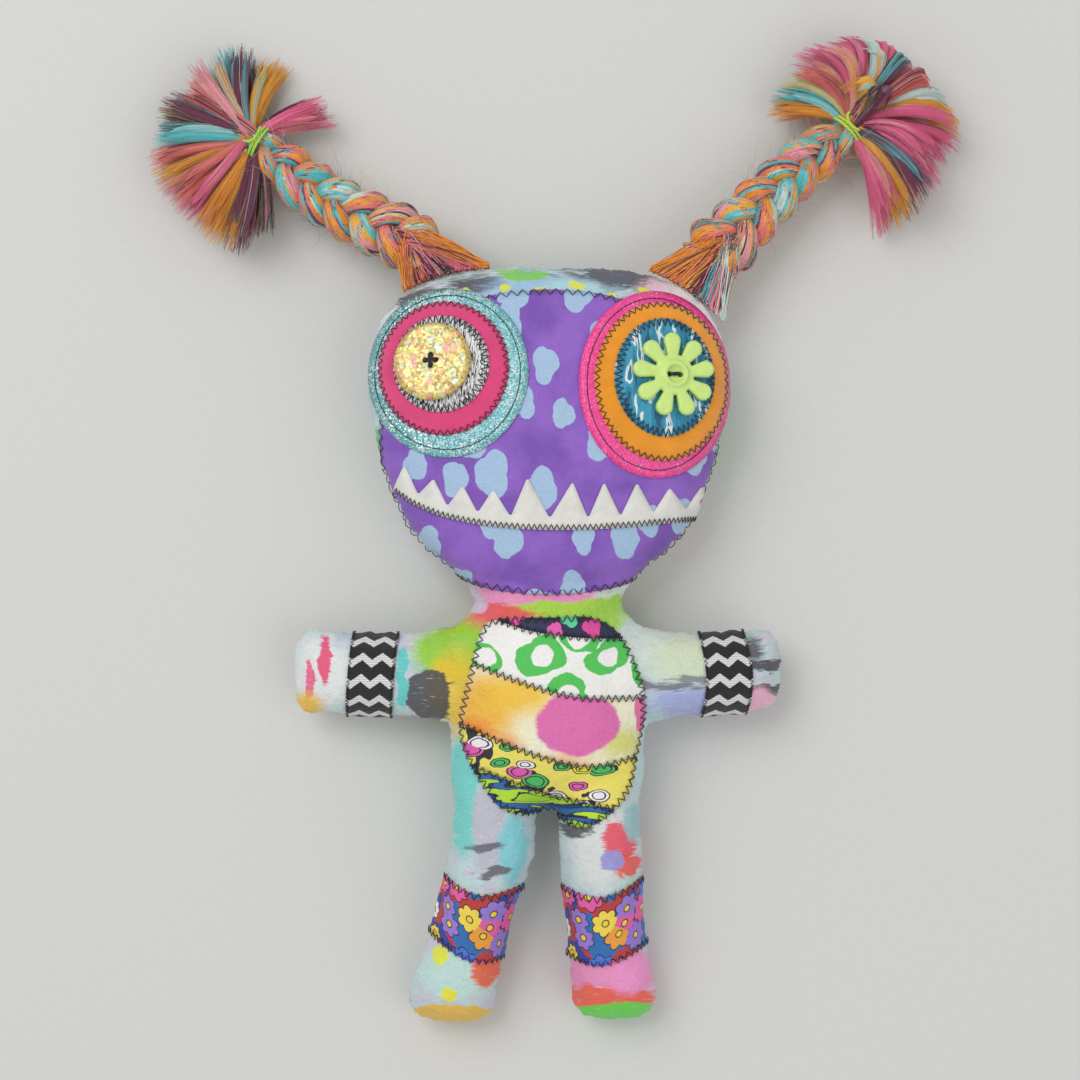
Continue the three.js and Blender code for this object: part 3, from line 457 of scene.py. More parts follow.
def cut_piece(obj, body):
    """A copy of the skin that keeps what belongs to one body."""
    mesh = bmesh.new()
    mesh.from_mesh(obj.data)
    for axis, place, side in CUTS[body]:
        point, normal = Vector(), Vector()
        point[axis], normal[axis] = place, side or 1
        everything = [*mesh.verts, *mesh.edges, *mesh.faces]
        bmesh.ops.bisect_plane(
            mesh, geom=everything, dist=1e-7, plane_co=point * MM, plane_no=normal, clear_inner=bool(side)
        )
    if body == "torso":
        bmesh.ops.delete(mesh, geom=[face for face in mesh.faces if in_a_limb(face)], context="FACES")
    data = bpy.data.meshes.new(f"{body}_skin")
    mesh.to_mesh(data)
    mesh.free()
    return shade_smooth(linked(data.name, data))
# What later operators need of earlier ones: the skin's shape, finishes and node trees
made = {}


def dress_skin():
    """Makes the skin at rest, cuts it at its bends, gives each piece its print, and sets the torso's piece on
    the torso.
    """
    skin = sewn_panels()
    fill_with_fibre(skin)
    rounder = skin.modifiers.new("rounder", "SUBSURF")
    rounder.levels = rounder.render_levels = 1
    applied(skin)
    pinch_seam(skin)
    lie_down(skin)
    lay_cloth(skin, points_of(skin)[:, :2] + vertex_values(skin, "normal")[:, :2] * 5.0)
    faces = [tuple(f.vertices) for f in skin.data.polygons]
    made["skin"] = BVHTree.FromPolygons([v.co / MM for v in skin.data.vertices], faces)
    for body in CUTS:
        piece = cut_piece(skin, body)
        p = points_of(piece)
        low, high = p.min(0) - 3, p.max(0) + 3
        near = [
            w for w in WASHES if all(low[i] < w[i] + w[i + 2] and w[i] - w[i + 2] < high[i] for i in (0, 1))
        ]
        piece.data.materials.append(washed_cotton(f"{body}_painted_cotton", BODY_GROUND, near))
        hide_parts(f"{body}_front_cloth", f"{body}_back_cloth", f"{body}_filling")
        if body == "torso":
            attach(piece, "torso")
        else:
            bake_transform(piece)
    bpy.data.objects.remove(skin)


# Node trees


def add(tree, kind, inputs=(), out=0, **settings):
    """Adds a node with its settings and returns one of its outputs, or with out=None the node. Inputs are
    values or linked outputs, in a row or by their sockets' names."""
    node = tree.nodes.new(kind)
    for key, value in settings.items():
        setattr(node, key, value)
    for key, value in inputs.items() if isinstance(inputs, dict) else enumerate(inputs):
        if isinstance(value, bpy.types.NodeSocket):
            tree.links.new(value, node.inputs[key])
        else:
            node.inputs[key].default_value = value
    return node if out is None else node.outputs[out]


def calc(tree, operation, *values, kind=MATH):
    """The output of one operation chained over values and outputs, or done on a single one."""
    operation = SIGNS.get(operation, operation)
    if len(values) == 1:
        return add(tree, kind, values, operation=operation)
    result = values[0]
    for value in values[1:]:
        result = add(tree, kind, (result, value), operation=operation)
    return result


def new_geometry_tree(name, sizes):
    """A Geometry Nodes tree with a mesh in and out, a finish and named sizes, and its input's outputs."""
    tree = bpy.data.node_groups.new(name, "GeometryNodeTree")
    for way in ("INPUT", "OUTPUT"):
        tree.interface.new_socket("Geometry", in_out=way, socket_type="NodeSocketGeometry")
    tree.interface.new_socket("Finish", in_out="INPUT", socket_type="NodeSocketMaterial")
    for label, default in sizes.items():
        kind = "NodeSocketInt" if isinstance(default, int) else "NodeSocketFloat"
        tree.interface.new_socket(label, in_out="INPUT", socket_type=kind).default_value = default
    return tree, add(tree, "NodeGroupInput", out=None).outputs


def finish_geometry_tree(tree, source, curve, sides, radius, scale=1.0):
    """Ends a tree: a closed tube along the curve, whose points know their place around it, then Realize
    Instances and Set Material."""
    ring = add(
        tree, "GeometryNodeCurvePrimitiveCircle", {"Resolution": sides, "Radius": radius}, mode="RADIUS",
    )
    around = add(tree, "GeometryNodeSplineParameter", out="Factor")
    ring = add(tree, "GeometryNodeStoreNamedAttribute", {"Geometry": ring, "Name": "around", "Value": around})
    sizes = {"Curve": curve, "Profile Curve": ring, "Scale": scale, "Fill Caps": True}
    real = add(tree, "GeometryNodeRealizeInstances", (add(tree, "GeometryNodeCurveToMesh", sizes),))
    smoothed = add(tree, "GeometryNodeSetShadeSmooth", (real,))
    finish = add(tree, "GeometryNodeSetMaterial", {"Geometry": smoothed, "Material": source["Finish"]})
    add(tree, "NodeGroupOutput", (finish,), None)
    return tree


def run_tree(obj, tree, finish, **sizes):
    """Runs a tree on the object with sizes set by their sockets' identifiers, and keeps the plain mesh."""
    modifier = obj.modifiers.new(tree.name, "NODES")
    modifier.node_group = tree
    for item in tree.interface.items_tree:
        if item.item_type == "SOCKET" and item.in_out == "INPUT":
            label = item.name.replace(" ", "_").lower()
            if item.name == "Finish":
                modifier[item.identifier] = finish
            elif label in sizes:
                modifier[item.identifier] = sizes[label]
    return applied(obj)


def lines_object(name, lines, **attributes):
    """Polylines of edges as one object, each point with named values."""
    starts = np.cumsum([0, *[len(line) for line in lines]])
    edges = [(i, i + 1) for start, end in zip(starts, starts[1:]) for i in range(start, end - 1)]
    obj = new_object(name, np.vstack(lines), [], edges)
    for key, value in {"girth": np.ones(starts[-1]), **attributes}.items():
        value = np.asarray(value, np.float32)
        kind, slot = ("FLOAT_VECTOR", "vector") if value.ndim == 2 else ("FLOAT", "value")
        obj.data.attributes.new(key, kind, "POINT").data.foreach_set(slot, value.ravel())
    return obj


def stitch_tree():
    """Stitches along a line: the thread goes from hole to hole, to one side and the other of the line."""
    sizes = {"Pitch": 4.6, "Swing": 1.5, "Rise": 0.5, "Thread": 0.25}
    tree, source = new_geometry_tree("Stitches", sizes)
    pitch, swing, rise, thread = (calc(tree, "*", source[k], MM) for k in sizes)
    curve = add(tree, "GeometryNodeMeshToCurve", {0: source["Geometry"]})
    step = calc(tree, "/", pitch, 8.0)
    even = add(tree, "GeometryNodeResampleCurve", {"Curve": curve, "Length": step}, mode="LENGTH")
    wave = calc(tree, "COSINE", calc(tree, "*", add(tree, "GeometryNodeInputIndex"), math.pi / 4))
    side = calc(tree, "*", calc(tree, "ARCSINE", wave), 2 / math.pi, swing)
    lift = calc(tree, "*", calc(tree, "-", 1.0, calc(tree, "*", wave, wave)), rise)
    up = add(tree, ATTRIBUTE, {"Name": "up"}, data_type="FLOAT_VECTOR")
    across = calc(tree, "CROSS_PRODUCT", add(tree, "GeometryNodeInputTangent"), up, kind=VECTOR)
    moves = [
        add(tree, VECTOR, {0: w, "Scale": s}, operation="SCALE") for w, s in ((across, side), (up, lift))
    ]
    offset = calc(tree, "+", *moves, kind=VECTOR)
    path = add(tree, "GeometryNodeSetPosition", {"Geometry": even, "Offset": offset})
    return finish_geometry_tree(tree, source, path, 5, thread)


def fibre_tree():
    """Loose fibres: each line becomes a thin hair that tapers to its end."""
    tree, source = new_geometry_tree("Fibres", {"Thickness": 0.2, "Taper": 0.7, "Sides": 3})
    curve = add(tree, "GeometryNodeMeshToCurve", {0: source["Geometry"]})
    lost = calc(tree, "*", add(tree, "GeometryNodeSplineParameter", out="Factor"), source["Taper"])
    girth = add(tree, ATTRIBUTE, {"Name": "girth"})
    scale = calc(tree, "*", calc(tree, "-", 1.0, lost), girth)
    radius = calc(tree, "*", source["Thickness"], MM)
    return finish_geometry_tree(tree, source, curve, source["Sides"], radius, scale)


def plait_tree():
    """Three strands that cross over and under one another along a line. A line with share 0 is a strand's
    core; one with share 1 is a fibre on its outside, at an angle round it."""
    tree, source = new_geometry_tree("Plait", {
        "Pitch": 38.0, "Swing": 7.4, "Rise": 5.0, "Strand": 4.6, "Squeeze": 0.3,
        "Wrap start": 58.0, "Wrap end": 76.0,
        "Wrapped strand": 0.6, "Wrapped swing": 0.6, "Fibre": 0.25, "Sides": 16,
    })
    run, turn, angle, share, fullness = (
        add(tree, ATTRIBUTE, {"Name": k}) for k in ("run", "turn", "angle", "share", "fullness")
    )
    phase = calc(tree, "+", calc(tree, "/", run, source["Pitch"]), turn)
    phase = calc(tree, "*", phase, 2 * math.pi)
    cosine, sine = calc(tree, "COSINE", phase), calc(tree, "SINE", phase)
    wrap = (run, source["Wrap start"], source["Wrap end"])
    wrapped = add(tree, RANGE, wrap, interpolation_type="SMOOTHSTEP")
    thinner, tighter = (
        calc(tree, "-", 1.0, calc(tree, "*", wrapped, calc(tree, "-", 1.0, source[k])))
        for k in ("Wrapped strand", "Wrapped swing")
    )
    squeezed = calc(tree, "-", 1.0, calc(tree, "*", sine, sine, source["Squeeze"]))
    radius = calc(tree, "*", source["Strand"], thinner, squeezed, fullness)
    swing = calc(tree, "*", source["Swing"], cosine, tighter)
    rise = calc(tree, "*", source["Rise"], calc(tree, "*", sine, cosine, 2.0), tighter)
    out = calc(tree, "*", radius, share)
    side, lift = (
        calc(tree, "*", calc(tree, "+", core, calc(tree, "*", out, calc(tree, way, angle))), MM)
        for core, way in ((swing, "COSINE"), (rise, "SINE"))
    )
    across = add(tree, ATTRIBUTE, {"Name": "across"}, data_type="FLOAT_VECTOR")
    sideways = add(tree, VECTOR, {0: across, "Scale": side}, operation="SCALE")
    offset = calc(tree, "+", sideways, add(tree, "ShaderNodeCombineXYZ", {2: lift}), kind=VECTOR)
    curve = add(tree, "GeometryNodeMeshToCurve", {0: source["Geometry"]})
    placed = add(tree, "GeometryNodeSetPosition", {"Geometry": curve, "Offset": offset})
    core = calc(tree, "*", radius, calc(tree, "-", 1.0, share))
    thick = calc(tree, "+", core, calc(tree, "*", share, source["Fibre"]))
    return finish_geometry_tree(tree, source, placed, source["Sides"], 1.0, calc(tree, "*", thick, MM))


# Finishes


def colour(code):
    """A colour for a shader from an sRGB hex code."""
    parts = [int(code[i : i + 2], 16) / 255 for i in (1, 3, 5)]
    return tuple(c / 12.92 if c <= 0.04045 else ((c + 0.055) / 1.055) ** 2.4 for c in parts) + (1.0,)


def new_material(name, **values):
    """A material with a Principled shader whose uniform values are set on its own sockets."""
    material = bpy.data.materials.new(name)
    material.use_nodes = True
    shader = material.node_tree.nodes["Principled BSDF"]
    for key, value in values.items():
        shader.inputs[key.replace("_", " ")].default_value = value
    return material, material.node_tree, shader


def set_ramp(tree, value, stops, interpolation="LINEAR"):
    """The colour that a Color Ramp with (place, hex code) stops gives a value."""
    node = add(tree, "ShaderNodeValToRGB", {0: value}, None)
    ramp = node.color_ramp
    ramp.interpolation = interpolation
    while len(ramp.elements) > 1:
        ramp.elements.remove(ramp.elements[-1])
    ramp.elements[0].position, ramp.elements[0].color = stops[0][0], colour(stops[0][1])
    for place, code in stops[1:]:
        ramp.elements.new(place).color = colour(code)
    return node.outputs[0]


# Dyes of the roving, each with the share of the ramp that it takes
DYES = [
    ("aqua", 0.1, "#6ad2d8"), ("mint", 0.08, "#d3e9e2"), ("orange", 0.13, "#f6a433"),
    ("coral", 0.07, "#f5837c"), ("maroon", 0.05, "#7a3450"), ("teal", 0.1, "#56c8ce"),
    ("amber", 0.11, "#f49a30"), ("pink", 0.08, "#f2729f"), ("olive", 0.08, "#dcd792"),
    ("dark", 0.03, "#352a36"), ("rose", 0.07, "#f6a2b0"), ("gold", 0.1, "#f8b544"),
]


def dye_stops():
    """The dyes as ramp stops, each flat over its share with a soft edge, and each dye's place in the ramp."""
    stops, places, at = [], {}, 0.0
    for key, share, code in DYES:
        stops += [(at + share * 0.16, code), (at + share * 0.84, code)]
        places[key] = at + share / 2
        at += share
    return stops, places


DYE_STOPS, DYE_AT = dye_stops()


def even_stops(codes):
    """Hex codes as ramp stops that share the ramp evenly."""
    return [(i / len(codes), code) for i, code in enumerate(codes)]


def roving_finish(name):
    """Dyed wool roving: parallel fibres in broad stripes of colour, a soft gloss and a few dark hairs."""
    material, tree, shader = new_material(name, Roughness=0.5, Sheen_Weight=0.2, Sheen_Roughness=0.4)
    around, core, angle, stripe, run, turn, dye = (
        add(tree, "ShaderNodeAttribute", attribute_name=k, out="Fac")
        for k in ("around", "core", "angle", "stripe", "run", "turn", "dye")
    )
    circle = calc(tree, "+", calc(tree, "*", around, core, 2 * math.pi), angle)
    length = calc(tree, "+", calc(tree, "*", run, 0.032), calc(tree, "*", turn, 9.0))
    ends = (calc(tree, "COSINE", circle), calc(tree, "SINE", circle), length)
    place = add(tree, "ShaderNodeCombineXYZ", ends)
    broad = add(tree, NOISE, {"Vector": place, "Scale": 0.75, "Detail": 0.0}, "Fac")
    spread = add(tree, RANGE, (broad, 0.3, 0.7, 0.0, 0.62), clamp=False)
    mixed = calc(tree, "FRACT", calc(tree, "+", calc(tree, "*", spread, stripe), dye, 3.0))
    lines = add(tree, NOISE, {"Vector": place, "Scale": 26.0, "Detail": 1.5}, "Fac")
    hair = calc(tree, "*", add(tree, RANGE, (lines, 0.33, 0.39, 0.75, 0.0)), stripe)
    tone = mix(tree, hair, set_ramp(tree, mixed, DYE_STOPS), "#2a1d26")
    tint(tree, shader, tone, lines, (0.3, 0.6), (0.78, 1.06))
    raise_by(tree, shader, lines, 0.6, 0.0005)
    return material


# Cloth, felt and glitter


def cloth_place(tree):
    """The piece's cloth map in millimetres."""
    mapped = add(tree, "ShaderNodeUVMap", uv_map="cloth")
    return add(tree, VECTOR, {0: mapped, "Scale": 1000.0}, operation="SCALE")


def mix(tree, factor, first, second):
    """Two colours mixed by a factor; either may be a hex code."""
    first, second = (colour(c) if isinstance(c, str) else c for c in (first, second))
    return add(tree, "ShaderNodeMix", {0: factor, 6: first, 7: second}, 2, data_type="RGBA")


def tint(tree, shader, tone, value, span, shades):
    """Gives the shader a tone that is darker or lighter as a value passes over a span."""
    shade = add(tree, RANGE, (value, *span, *shades))
    tone = tone[:3] if isinstance(tone, tuple) else tone
    tinted = add(tree, VECTOR, {0: tone, "Scale": shade}, operation="SCALE")
    tree.links.new(tinted, shader.inputs["Base Color"])


def raise_by(tree, shader, height, strength, distance, **under):
    """Bumps the shader's surface by a height, over a bump under it. Returns the bump's normal."""
    sizes = {"Height": height, "Strength": strength, "Distance": distance, **under}
    bump = add(tree, "ShaderNodeBump", sizes)
    tree.links.new(bump, shader.inputs["Normal"])
    return bump


def band_between(tree, value, low, high, soft):
    """1 where a value lies between low and high, with soft edges."""
    rise = add(tree, RANGE, (value, low - soft, low + soft))
    fall = add(tree, RANGE, (value, high - soft, high + soft, 1.0, 0.0))
    return calc(tree, "*", rise, fall)


def centred(tree, tone, size):
    """A colour's channels, taken to lie about zero, as a vector of a size."""
    middle = calc(tree, "-", tone, (0.5, 0.5, 0.5), kind=VECTOR)
    return add(tree, VECTOR, {0: middle, "Scale": size}, operation="SCALE")


def stirred(tree, place, scale, amount):
    """A place moved about by noise, for hand-drawn edges. Scale is in waves per mm, amount in mm."""
    wobble = add(tree, NOISE, {"Vector": place, "Scale": scale, "Detail": 3.0}, "Color")
    return calc(tree, "+", place, centred(tree, wobble, amount * 2.0), kind=VECTOR)


def tilt_flakes(tree, shader, own, size):
    """Tilts the shader's surface in each flake by the flake's own colour."""
    facing = add(tree, "ShaderNodeNewGeometry", out="Normal")
    tilted = calc(tree, "+", facing, centred(tree, own, size), kind=VECTOR)
    tree.links.new(calc(tree, "NORMALIZE", tilted, kind=VECTOR), shader.inputs["Normal"])


def weave_height(tree, place, thread=0.42):
    """Height of a plain weave whose threads are a given number of millimetres apart."""
    sizes = {"Vector": place, "Scale": 1 / (6.28 * thread), "Distortion": 0.3}
    waves = (add(tree, "ShaderNodeTexWave", sizes, "Fac", bands_direction=d) for d in "XY")
    return calc(tree, "MAXIMUM", *waves)


def finish_cotton(tree, shader, place, tone, wrinkle=0.35):
    """Ends a cotton: its print, a little unevenness of the ink, the weave and soft wrinkles."""
    ink = add(tree, NOISE, {"Vector": place, "Scale": 0.9, "Detail": 4.0}, "Fac")
    tint(tree, shader, tone, ink, (0.3, 0.7), (0.93, 1.05))
    crease = add(tree, NOISE, {"Vector": place, "Scale": 0.16, "Detail": 4.0, "Roughness": 0.6}, "Fac")
    wrinkles = raise_by(tree, shader, crease, wrinkle, 0.004)
    raise_by(tree, shader, weave_height(tree, place), 0.25, 0.00012, Normal=wrinkles)


# Middles of the lemon dots near the crown
DOTS = [(-34, 181), (-19, 184), (-4, 181), (12, 184), (27, 180), (41, 182), (-46, 176)]

# Washes of colour on the body cloth: place and size in the plan, softness of the edge, brushiness, and colour
WASHES = [
    # the head's rim
    (-62, 172, 26, 20, 0.25, 0.3, "#dde6ea"), (-58, 180, 12, 5, 0.3, 0.9, "#5c606b"),
    (-30, 186, 13, 5, 0.3, 0.9, "#4f525e"), (-6, 182, 20, 9, 0.3, 0.4, "#a3c8ea"),
    (-10, 191, 11, 3, 0.2, 0.4, "#84d45c"), (32, 190, 24, 8, 0.3, 0.9, "#4f5260"),
    (52, 184, 12, 6, 0.3, 0.6, "#e9b3c8"), (12, 180, 16, 8, 0.3, 0.5, "#b4dde6"),
    (66, 170, 22, 26, 0.3, 0.3, "#f2f0f3"), (78, 118, 14, 20, 0.3, 0.3, "#62cf4e"),
    (-74, 112, 5, 10, 0.3, 0.4, "#5cb860"), (-62, 76, 18, 18, 0.35, 0.3, "#b4d2e2"),
    (58, 72, 20, 16, 0.35, 0.3, "#f3cbc0"), (34, 56, 18, 8, 0.3, 0.3, "#dfe6df"),
    (-32, 60, 16, 10, 0.35, 0.3, "#bcd8ea"), (-74, 146, 12, 18, 0.3, 0.4, "#b3cdde"),
    # the neck and the shoulders
    (-6, 52, 28, 9, 0.2, 0.2, "#ef8fc0"), (14, 47, 34, 5, 0.12, 0.15, "#a6dc2e"),
    (-24, 43, 20, 6, 0.15, 0.3, "#ef5a5c"), (-42, 32, 15, 14, 0.25, 0.2, "#9bd62a"),
    (-40, 12, 10, 19, 0.3, 0.35, "#ecc832"), (46, 34, 16, 14, 0.3, 0.3, "#d7e2dc"),
    # the left arm
    (-51, 9, 9.5, 14, 0.05, 0.15, "#4d4c50"), (-61.5, 18, 2.4, 17, 0.1, 0.1, "#5fd0cb"),
    (-97, 20, 16, 20, 0.25, 0.3, "#e8eaea"), (-94, 26, 3.2, 13, 0.12, 0.5, "#ee4a78"),
    (-103, 14, 2.6, 12, 0.12, 0.5, "#f0648c"), (-106, 2, 11, 8, 0.3, 0.3, "#f3c43c"),
    # the right arm
    (58, 28, 15, 12, 0.35, 0.3, "#d9e4c4"), (60, 5, 18, 9, 0.35, 0.3, "#a9b2e2"),
    (50, 14, 14, 2.2, 0.3, 0.9, "#7d7f86"), (62, 18, 10, 1.8, 0.3, 0.9, "#8a8c92"),
    (94, 24, 12, 3.0, 0.15, 0.7, "#46454b"), (96, 12, 12, 2.6, 0.15, 0.7, "#4b4a50"),
    (90, 6, 9, 7, 0.3, 0.3, "#f2b6cd"), (84, 32, 8, 6, 0.3, 0.6, "#5a5960"),
    # the left leg
    (-38, -30, 9, 26, 0.15, 0.2, "#74d6cf"), (-24, -44, 10, 22, 0.18, 0.2, "#c3c2d0"),
    (-12, -54, 8, 16, 0.18, 0.2, "#83d4dd"), (-27, -52, 10, 1.9, 0.2, 0.5, "#6d6c74"),
    (-21, -64, 9, 1.8, 0.2, 0.5, "#6d6c74"), (-34, -106, 24, 12, 0.2, 0.2, "#c5e4dc"),
    (-22, -104, 8, 9, 0.15, 0.3, "#f0643c"), (-48, -98, 4.5, 4, 0.15, 0.2, "#e8ee2c"),
    (-42, -116, 4, 4, 0.15, 0.2, "#f2ec30"), (-40, -131, 28, 9, 0.06, 0.12, "#efbf3a"),
    # the right leg
    (20, -52, 18, 18, 0.25, 0.2, "#dde2df"), (31, -50, 9, 9, 0.12, 0.5, "#ee4d66"),
    (36, -60, 8, 6, 0.12, 0.5, "#f0594e"), (28, -58, 6, 5, 0.12, 0.4, "#9d9cdf"),
    (40, -42, 6, 8, 0.2, 0.3, "#9fc6cc"), (8, -44, 8, 4, 0.2, 0.8, "#56575f"),
    (26, -108, 24, 20, 0.15, 0.15, "#f08fc3"), (24, -119, 28, 7, 0.12, 0.25, "#f2654a"),
    (36, -104, 9, 12, 0.25, 0.3, "#f59ad2"), (30, -131, 28, 10, 0.06, 0.12, "#5fe04a"),
    *[(x, y, 2.6, 2.4, 0.15, 0.0, "#e9ea34") for x, y in DOTS],
]
BODY_GROUND = [(0.3, "#a9c3d4"), (0.42, "#c9d3dc"), (0.5, "#bfe0dc"), (0.58, "#cfcbdc"), (0.7, "#dfe6e6")]
SUNSET = [
    (-26, 6, 12, 14, 0.4, 0.2, "#f6b830"), (-12, 12, 14, 8, 0.5, 0.2, "#f7c83c"),
    (-31, -7, 8, 8, 0.5, 0.3, "#f4702a"), (-20, -10, 8, 5, 0.6, 0.2, "#f3924a"),
    (30, -8, 9, 6, 0.5, 0.2, "#dfe07a"), (4, -16, 12, 4, 0.6, 0.2, "#f7c39a"),
    (12, 0, 17, 13, 0.05, 0.06, "#e663b4"), (38, 4, 2.6, 8, 0.1, 0.1, "#ea6aa8"),
]


def felt_finish(name, tone):
    """Wool felt: matted fibres, no gloss, a fuzzy sheen at the edges."""
    material, tree, shader = new_material(name, Roughness=0.95, Sheen_Weight=0.4, Sheen_Roughness=0.6)
    place = cloth_place(tree)
    fibre = add(tree, NOISE, {"Vector": place, "Scale": 2.6, "Detail": 6.0, "Roughness": 0.75}, "Fac")
    cloud = add(tree, NOISE, {"Vector": place, "Scale": 0.12, "Detail": 2.0}, "Fac")
    blend = calc(tree, "+", calc(tree, "*", fibre, 0.7), calc(tree, "*", cloud, 0.3))
    tint(tree, shader, tone, blend, (0.36, 0.62), (0.74, 1.06))
    raise_by(tree, shader, fibre, 0.6, 0.0004)
    return material


def glitter_finish(name, base, pale, metal=0.35, sparse=0.0, flake=0.45):
    """Glitter cloth: each flake tilts its own way, so single flakes catch the light."""
    material, tree, shader = new_material(
        name, Roughness=0.32, Metallic=metal, Coat_Weight=0.3, Coat_Roughness=0.15,
    )
    place = cloth_place(tree)
    own = add(tree, CELLS, {"Vector": place, "Scale": 1 / flake}, "Color", voronoi_dimensions="2D")
    # Broad noise makes the flakes paler over patches; the palest flakes are white
    pale_patches = add(tree, NOISE, {"Vector": place, "Scale": 0.1, "Detail": 3.0}, "Fac")
    pale_patches = calc(tree, "*", calc(tree, "-", pale_patches, 0.5), 0.9)
    paled = calc(tree, "+", add(tree, "ShaderNodeSeparateColor", {0: own}), pale_patches, -sparse)
    tone = set_ramp(tree, paled, [(0.1, base), (0.62, base), (0.8, pale), (0.97, "#ffffff")])
    tree.links.new(tone, shader.inputs["Base Color"])
    tilt_flakes(tree, shader, own, 0.85)
    return material


def thread_finish(name, tone):
    """Sewing thread: dark, twisted, faintly glossy."""
    material, tree, shader = new_material(name, Roughness=0.55, Sheen_Weight=0.15)
    place = add(tree, "ShaderNodeTexCoord", out="Object")
    twist = add(tree, NOISE, {"Vector": place, "Scale": 2500.0, "Detail": 1.0}, "Fac")
    tint(tree, shader, tone, twist, (0, 1), (0.6, 1.5))
    return material


def neon_painted_glow_finish(name, tone):
    """Thick fluorescent yarn: plied and fuzzy, with a painted glow (a faint emission of its own colour) that
    keeps its shaded side bright, and painted shade in the grooves between its plies.
    """
    # Emission of the yarn's own colour: a painted glow, since the yarn is no lamp
    values = dict(Roughness=0.8, Sheen_Weight=0.4, Emission_Color=tone, Emission_Strength=0.12)
    material, tree, shader = new_material(name, **values)
    around, run = (add(tree, "ShaderNodeAttribute", attribute_name=k, out="Fac") for k in ("around", "run"))
    ply = calc(tree, "+", calc(tree, "*", around, 3.0), calc(tree, "*", run, 0.45))
    # Painted shade: darker in the grooves between the plies; the same groove also bumps the surface
    groove = calc(tree, "PINGPONG", ply, 0.5)
    tint(tree, shader, tone, groove, (0.0, 0.5), (0.55, 1.08))
    raise_by(tree, shader, groove, 0.8, 0.0006)
    return material


# Printed cottons


def scaled(tree, place, turn=0.0, stretch=(1.0, 1.0), shift=(0.0, 0.0)):
    """A place turned, stretched and shifted, for a pattern that lies at an angle."""
    settings = {"Vector": place, "Rotation": (0, 0, turn), "Scale": (*stretch, 1.0), "Location": (*shift, 0)}
    return add(tree, "ShaderNodeMapping", settings)


def washed_cotton(name, ground, washes, wobble=4.5, flecks="#eef2f2"):
    """Cotton printed with washes of paint, each (x, y, wide, tall, softness, dryness, colour): matt, with
    a faint sheen."""
    material, tree, shader = new_material(name, Roughness=0.72, Sheen_Weight=0.12, Sheen_Roughness=0.5)
    place = cloth_place(tree)
    moved = stirred(tree, place, 0.09, wobble)
    tone = set_ramp(tree, add(tree, NOISE, {"Vector": place, "Scale": 0.045, "Detail": 4.0}, "Fac"), ground)
    drawn = scaled(tree, place, 0.5, (0.16, 0.9))
    brush = add(tree, NOISE, {"Vector": drawn, "Scale": 1.0, "Detail": 4.0}, "Fac")
    streak = calc(tree, "-", brush, 0.5)
    for x, y, wide, tall, soft, dry, code in washes:
        shift = (moved, (1 / wide, 1 / tall, 0), (-x / wide, -y / tall, 0))
        near = add(tree, VECTOR, shift, operation="MULTIPLY_ADD")
        far = add(tree, VECTOR, (near,), 1, operation="LENGTH")
        rough = add(tree, MATH, (streak, dry * 2.2, far), operation="MULTIPLY_ADD")
        tone = mix(tree, add(tree, RANGE, (rough, 1 - soft, 1 + soft, 0.94, 0.0)), tone, code)
    if flecks:
        tone = mix(tree, add(tree, RANGE, (brush, 0.62, 0.72, 0.0, 0.4)), tone, flecks)
    finish_cotton(tree, shader, place, tone, 0.45)
    return material


def motif_cotton(
    name, pitch, ground, fills, lobes, reach, depth, turn=0.0, stretch=1.0, wobble=1.0,
    ink="#1d1b22", line=0.03, eye=None, eye_size=0.24, ring=0.0, shift=(0.0, 0.0),
):
    """Cotton printed with rounded or petalled motifs, outlined in ink, one to a cell of an uneven grid. Pitch
    in millimetres; reach, line and ring in shares of it; matt with a faint sheen."""
    material, tree, shader = new_material(name, Roughness=0.68, Sheen_Weight=0.12)
    place = cloth_place(tree)
    moved = scaled(tree, stirred(tree, place, 0.12, wobble), turn, (1.0, stretch), shift)
    sizes = {"Vector": moved, "Scale": 1 / pitch, "Randomness": 0.75}
    cells = add(tree, CELLS, sizes, None, voronoi_dimensions="2D").outputs
    own = add(tree, "ShaderNodeSeparateColor", {0: cells["Color"]}, None).outputs
    offset = calc(tree, "-", moved, cells["Position"], kind=VECTOR)
    parts = add(tree, "ShaderNodeSeparateXYZ", {0: offset}, None).outputs
    far = calc(tree, "/", add(tree, VECTOR, (offset,), 1, operation="LENGTH"), pitch)
    bearing = calc(tree, "*", calc(tree, "ARCTAN2", parts[1], parts[0]), lobes / 2)
    spun = calc(tree, "+", bearing, calc(tree, "*", own[1], 6.0))
    lobe = calc(tree, "*", calc(tree, "ABSOLUTE", calc(tree, "COSINE", spun)), depth)
    size = add(tree, RANGE, {0: own[2], 3: reach * 0.66, 4: reach * 1.12})
    within = calc(tree, "*", size, calc(tree, "+", 1 - depth, lobe))
    within = calc(tree, "-", within, far)
    cloud = add(tree, NOISE, {"Vector": place, "Scale": 0.05, "Detail": 3.0}, "Fac")
    tone = set_ramp(tree, cloud, ground, "LINEAR" if len(ground) < 3 else "CONSTANT")
    fill = set_ramp(tree, own[0], even_stops(fills), "CONSTANT")
    tone = mix(tree, add(tree, RANGE, (within, -0.008, 0.008)), tone, fill)
    bands = [(within, at - line, at + line, 0.01, ink) for at in (0.0, ring)[: 1 + bool(ring)] if ink]
    if eye:
        edge = reach * eye_size
        bands += [(far, -1.0, edge, 0.012, eye), *[(far, edge - line, edge + line, 0.01, ink)][: bool(ink)]]
    for *band, code in bands:
        tone = mix(tree, band_between(tree, *band), tone, code)
    finish_cotton(tree, shader, place, tone, 0.3)
    return material


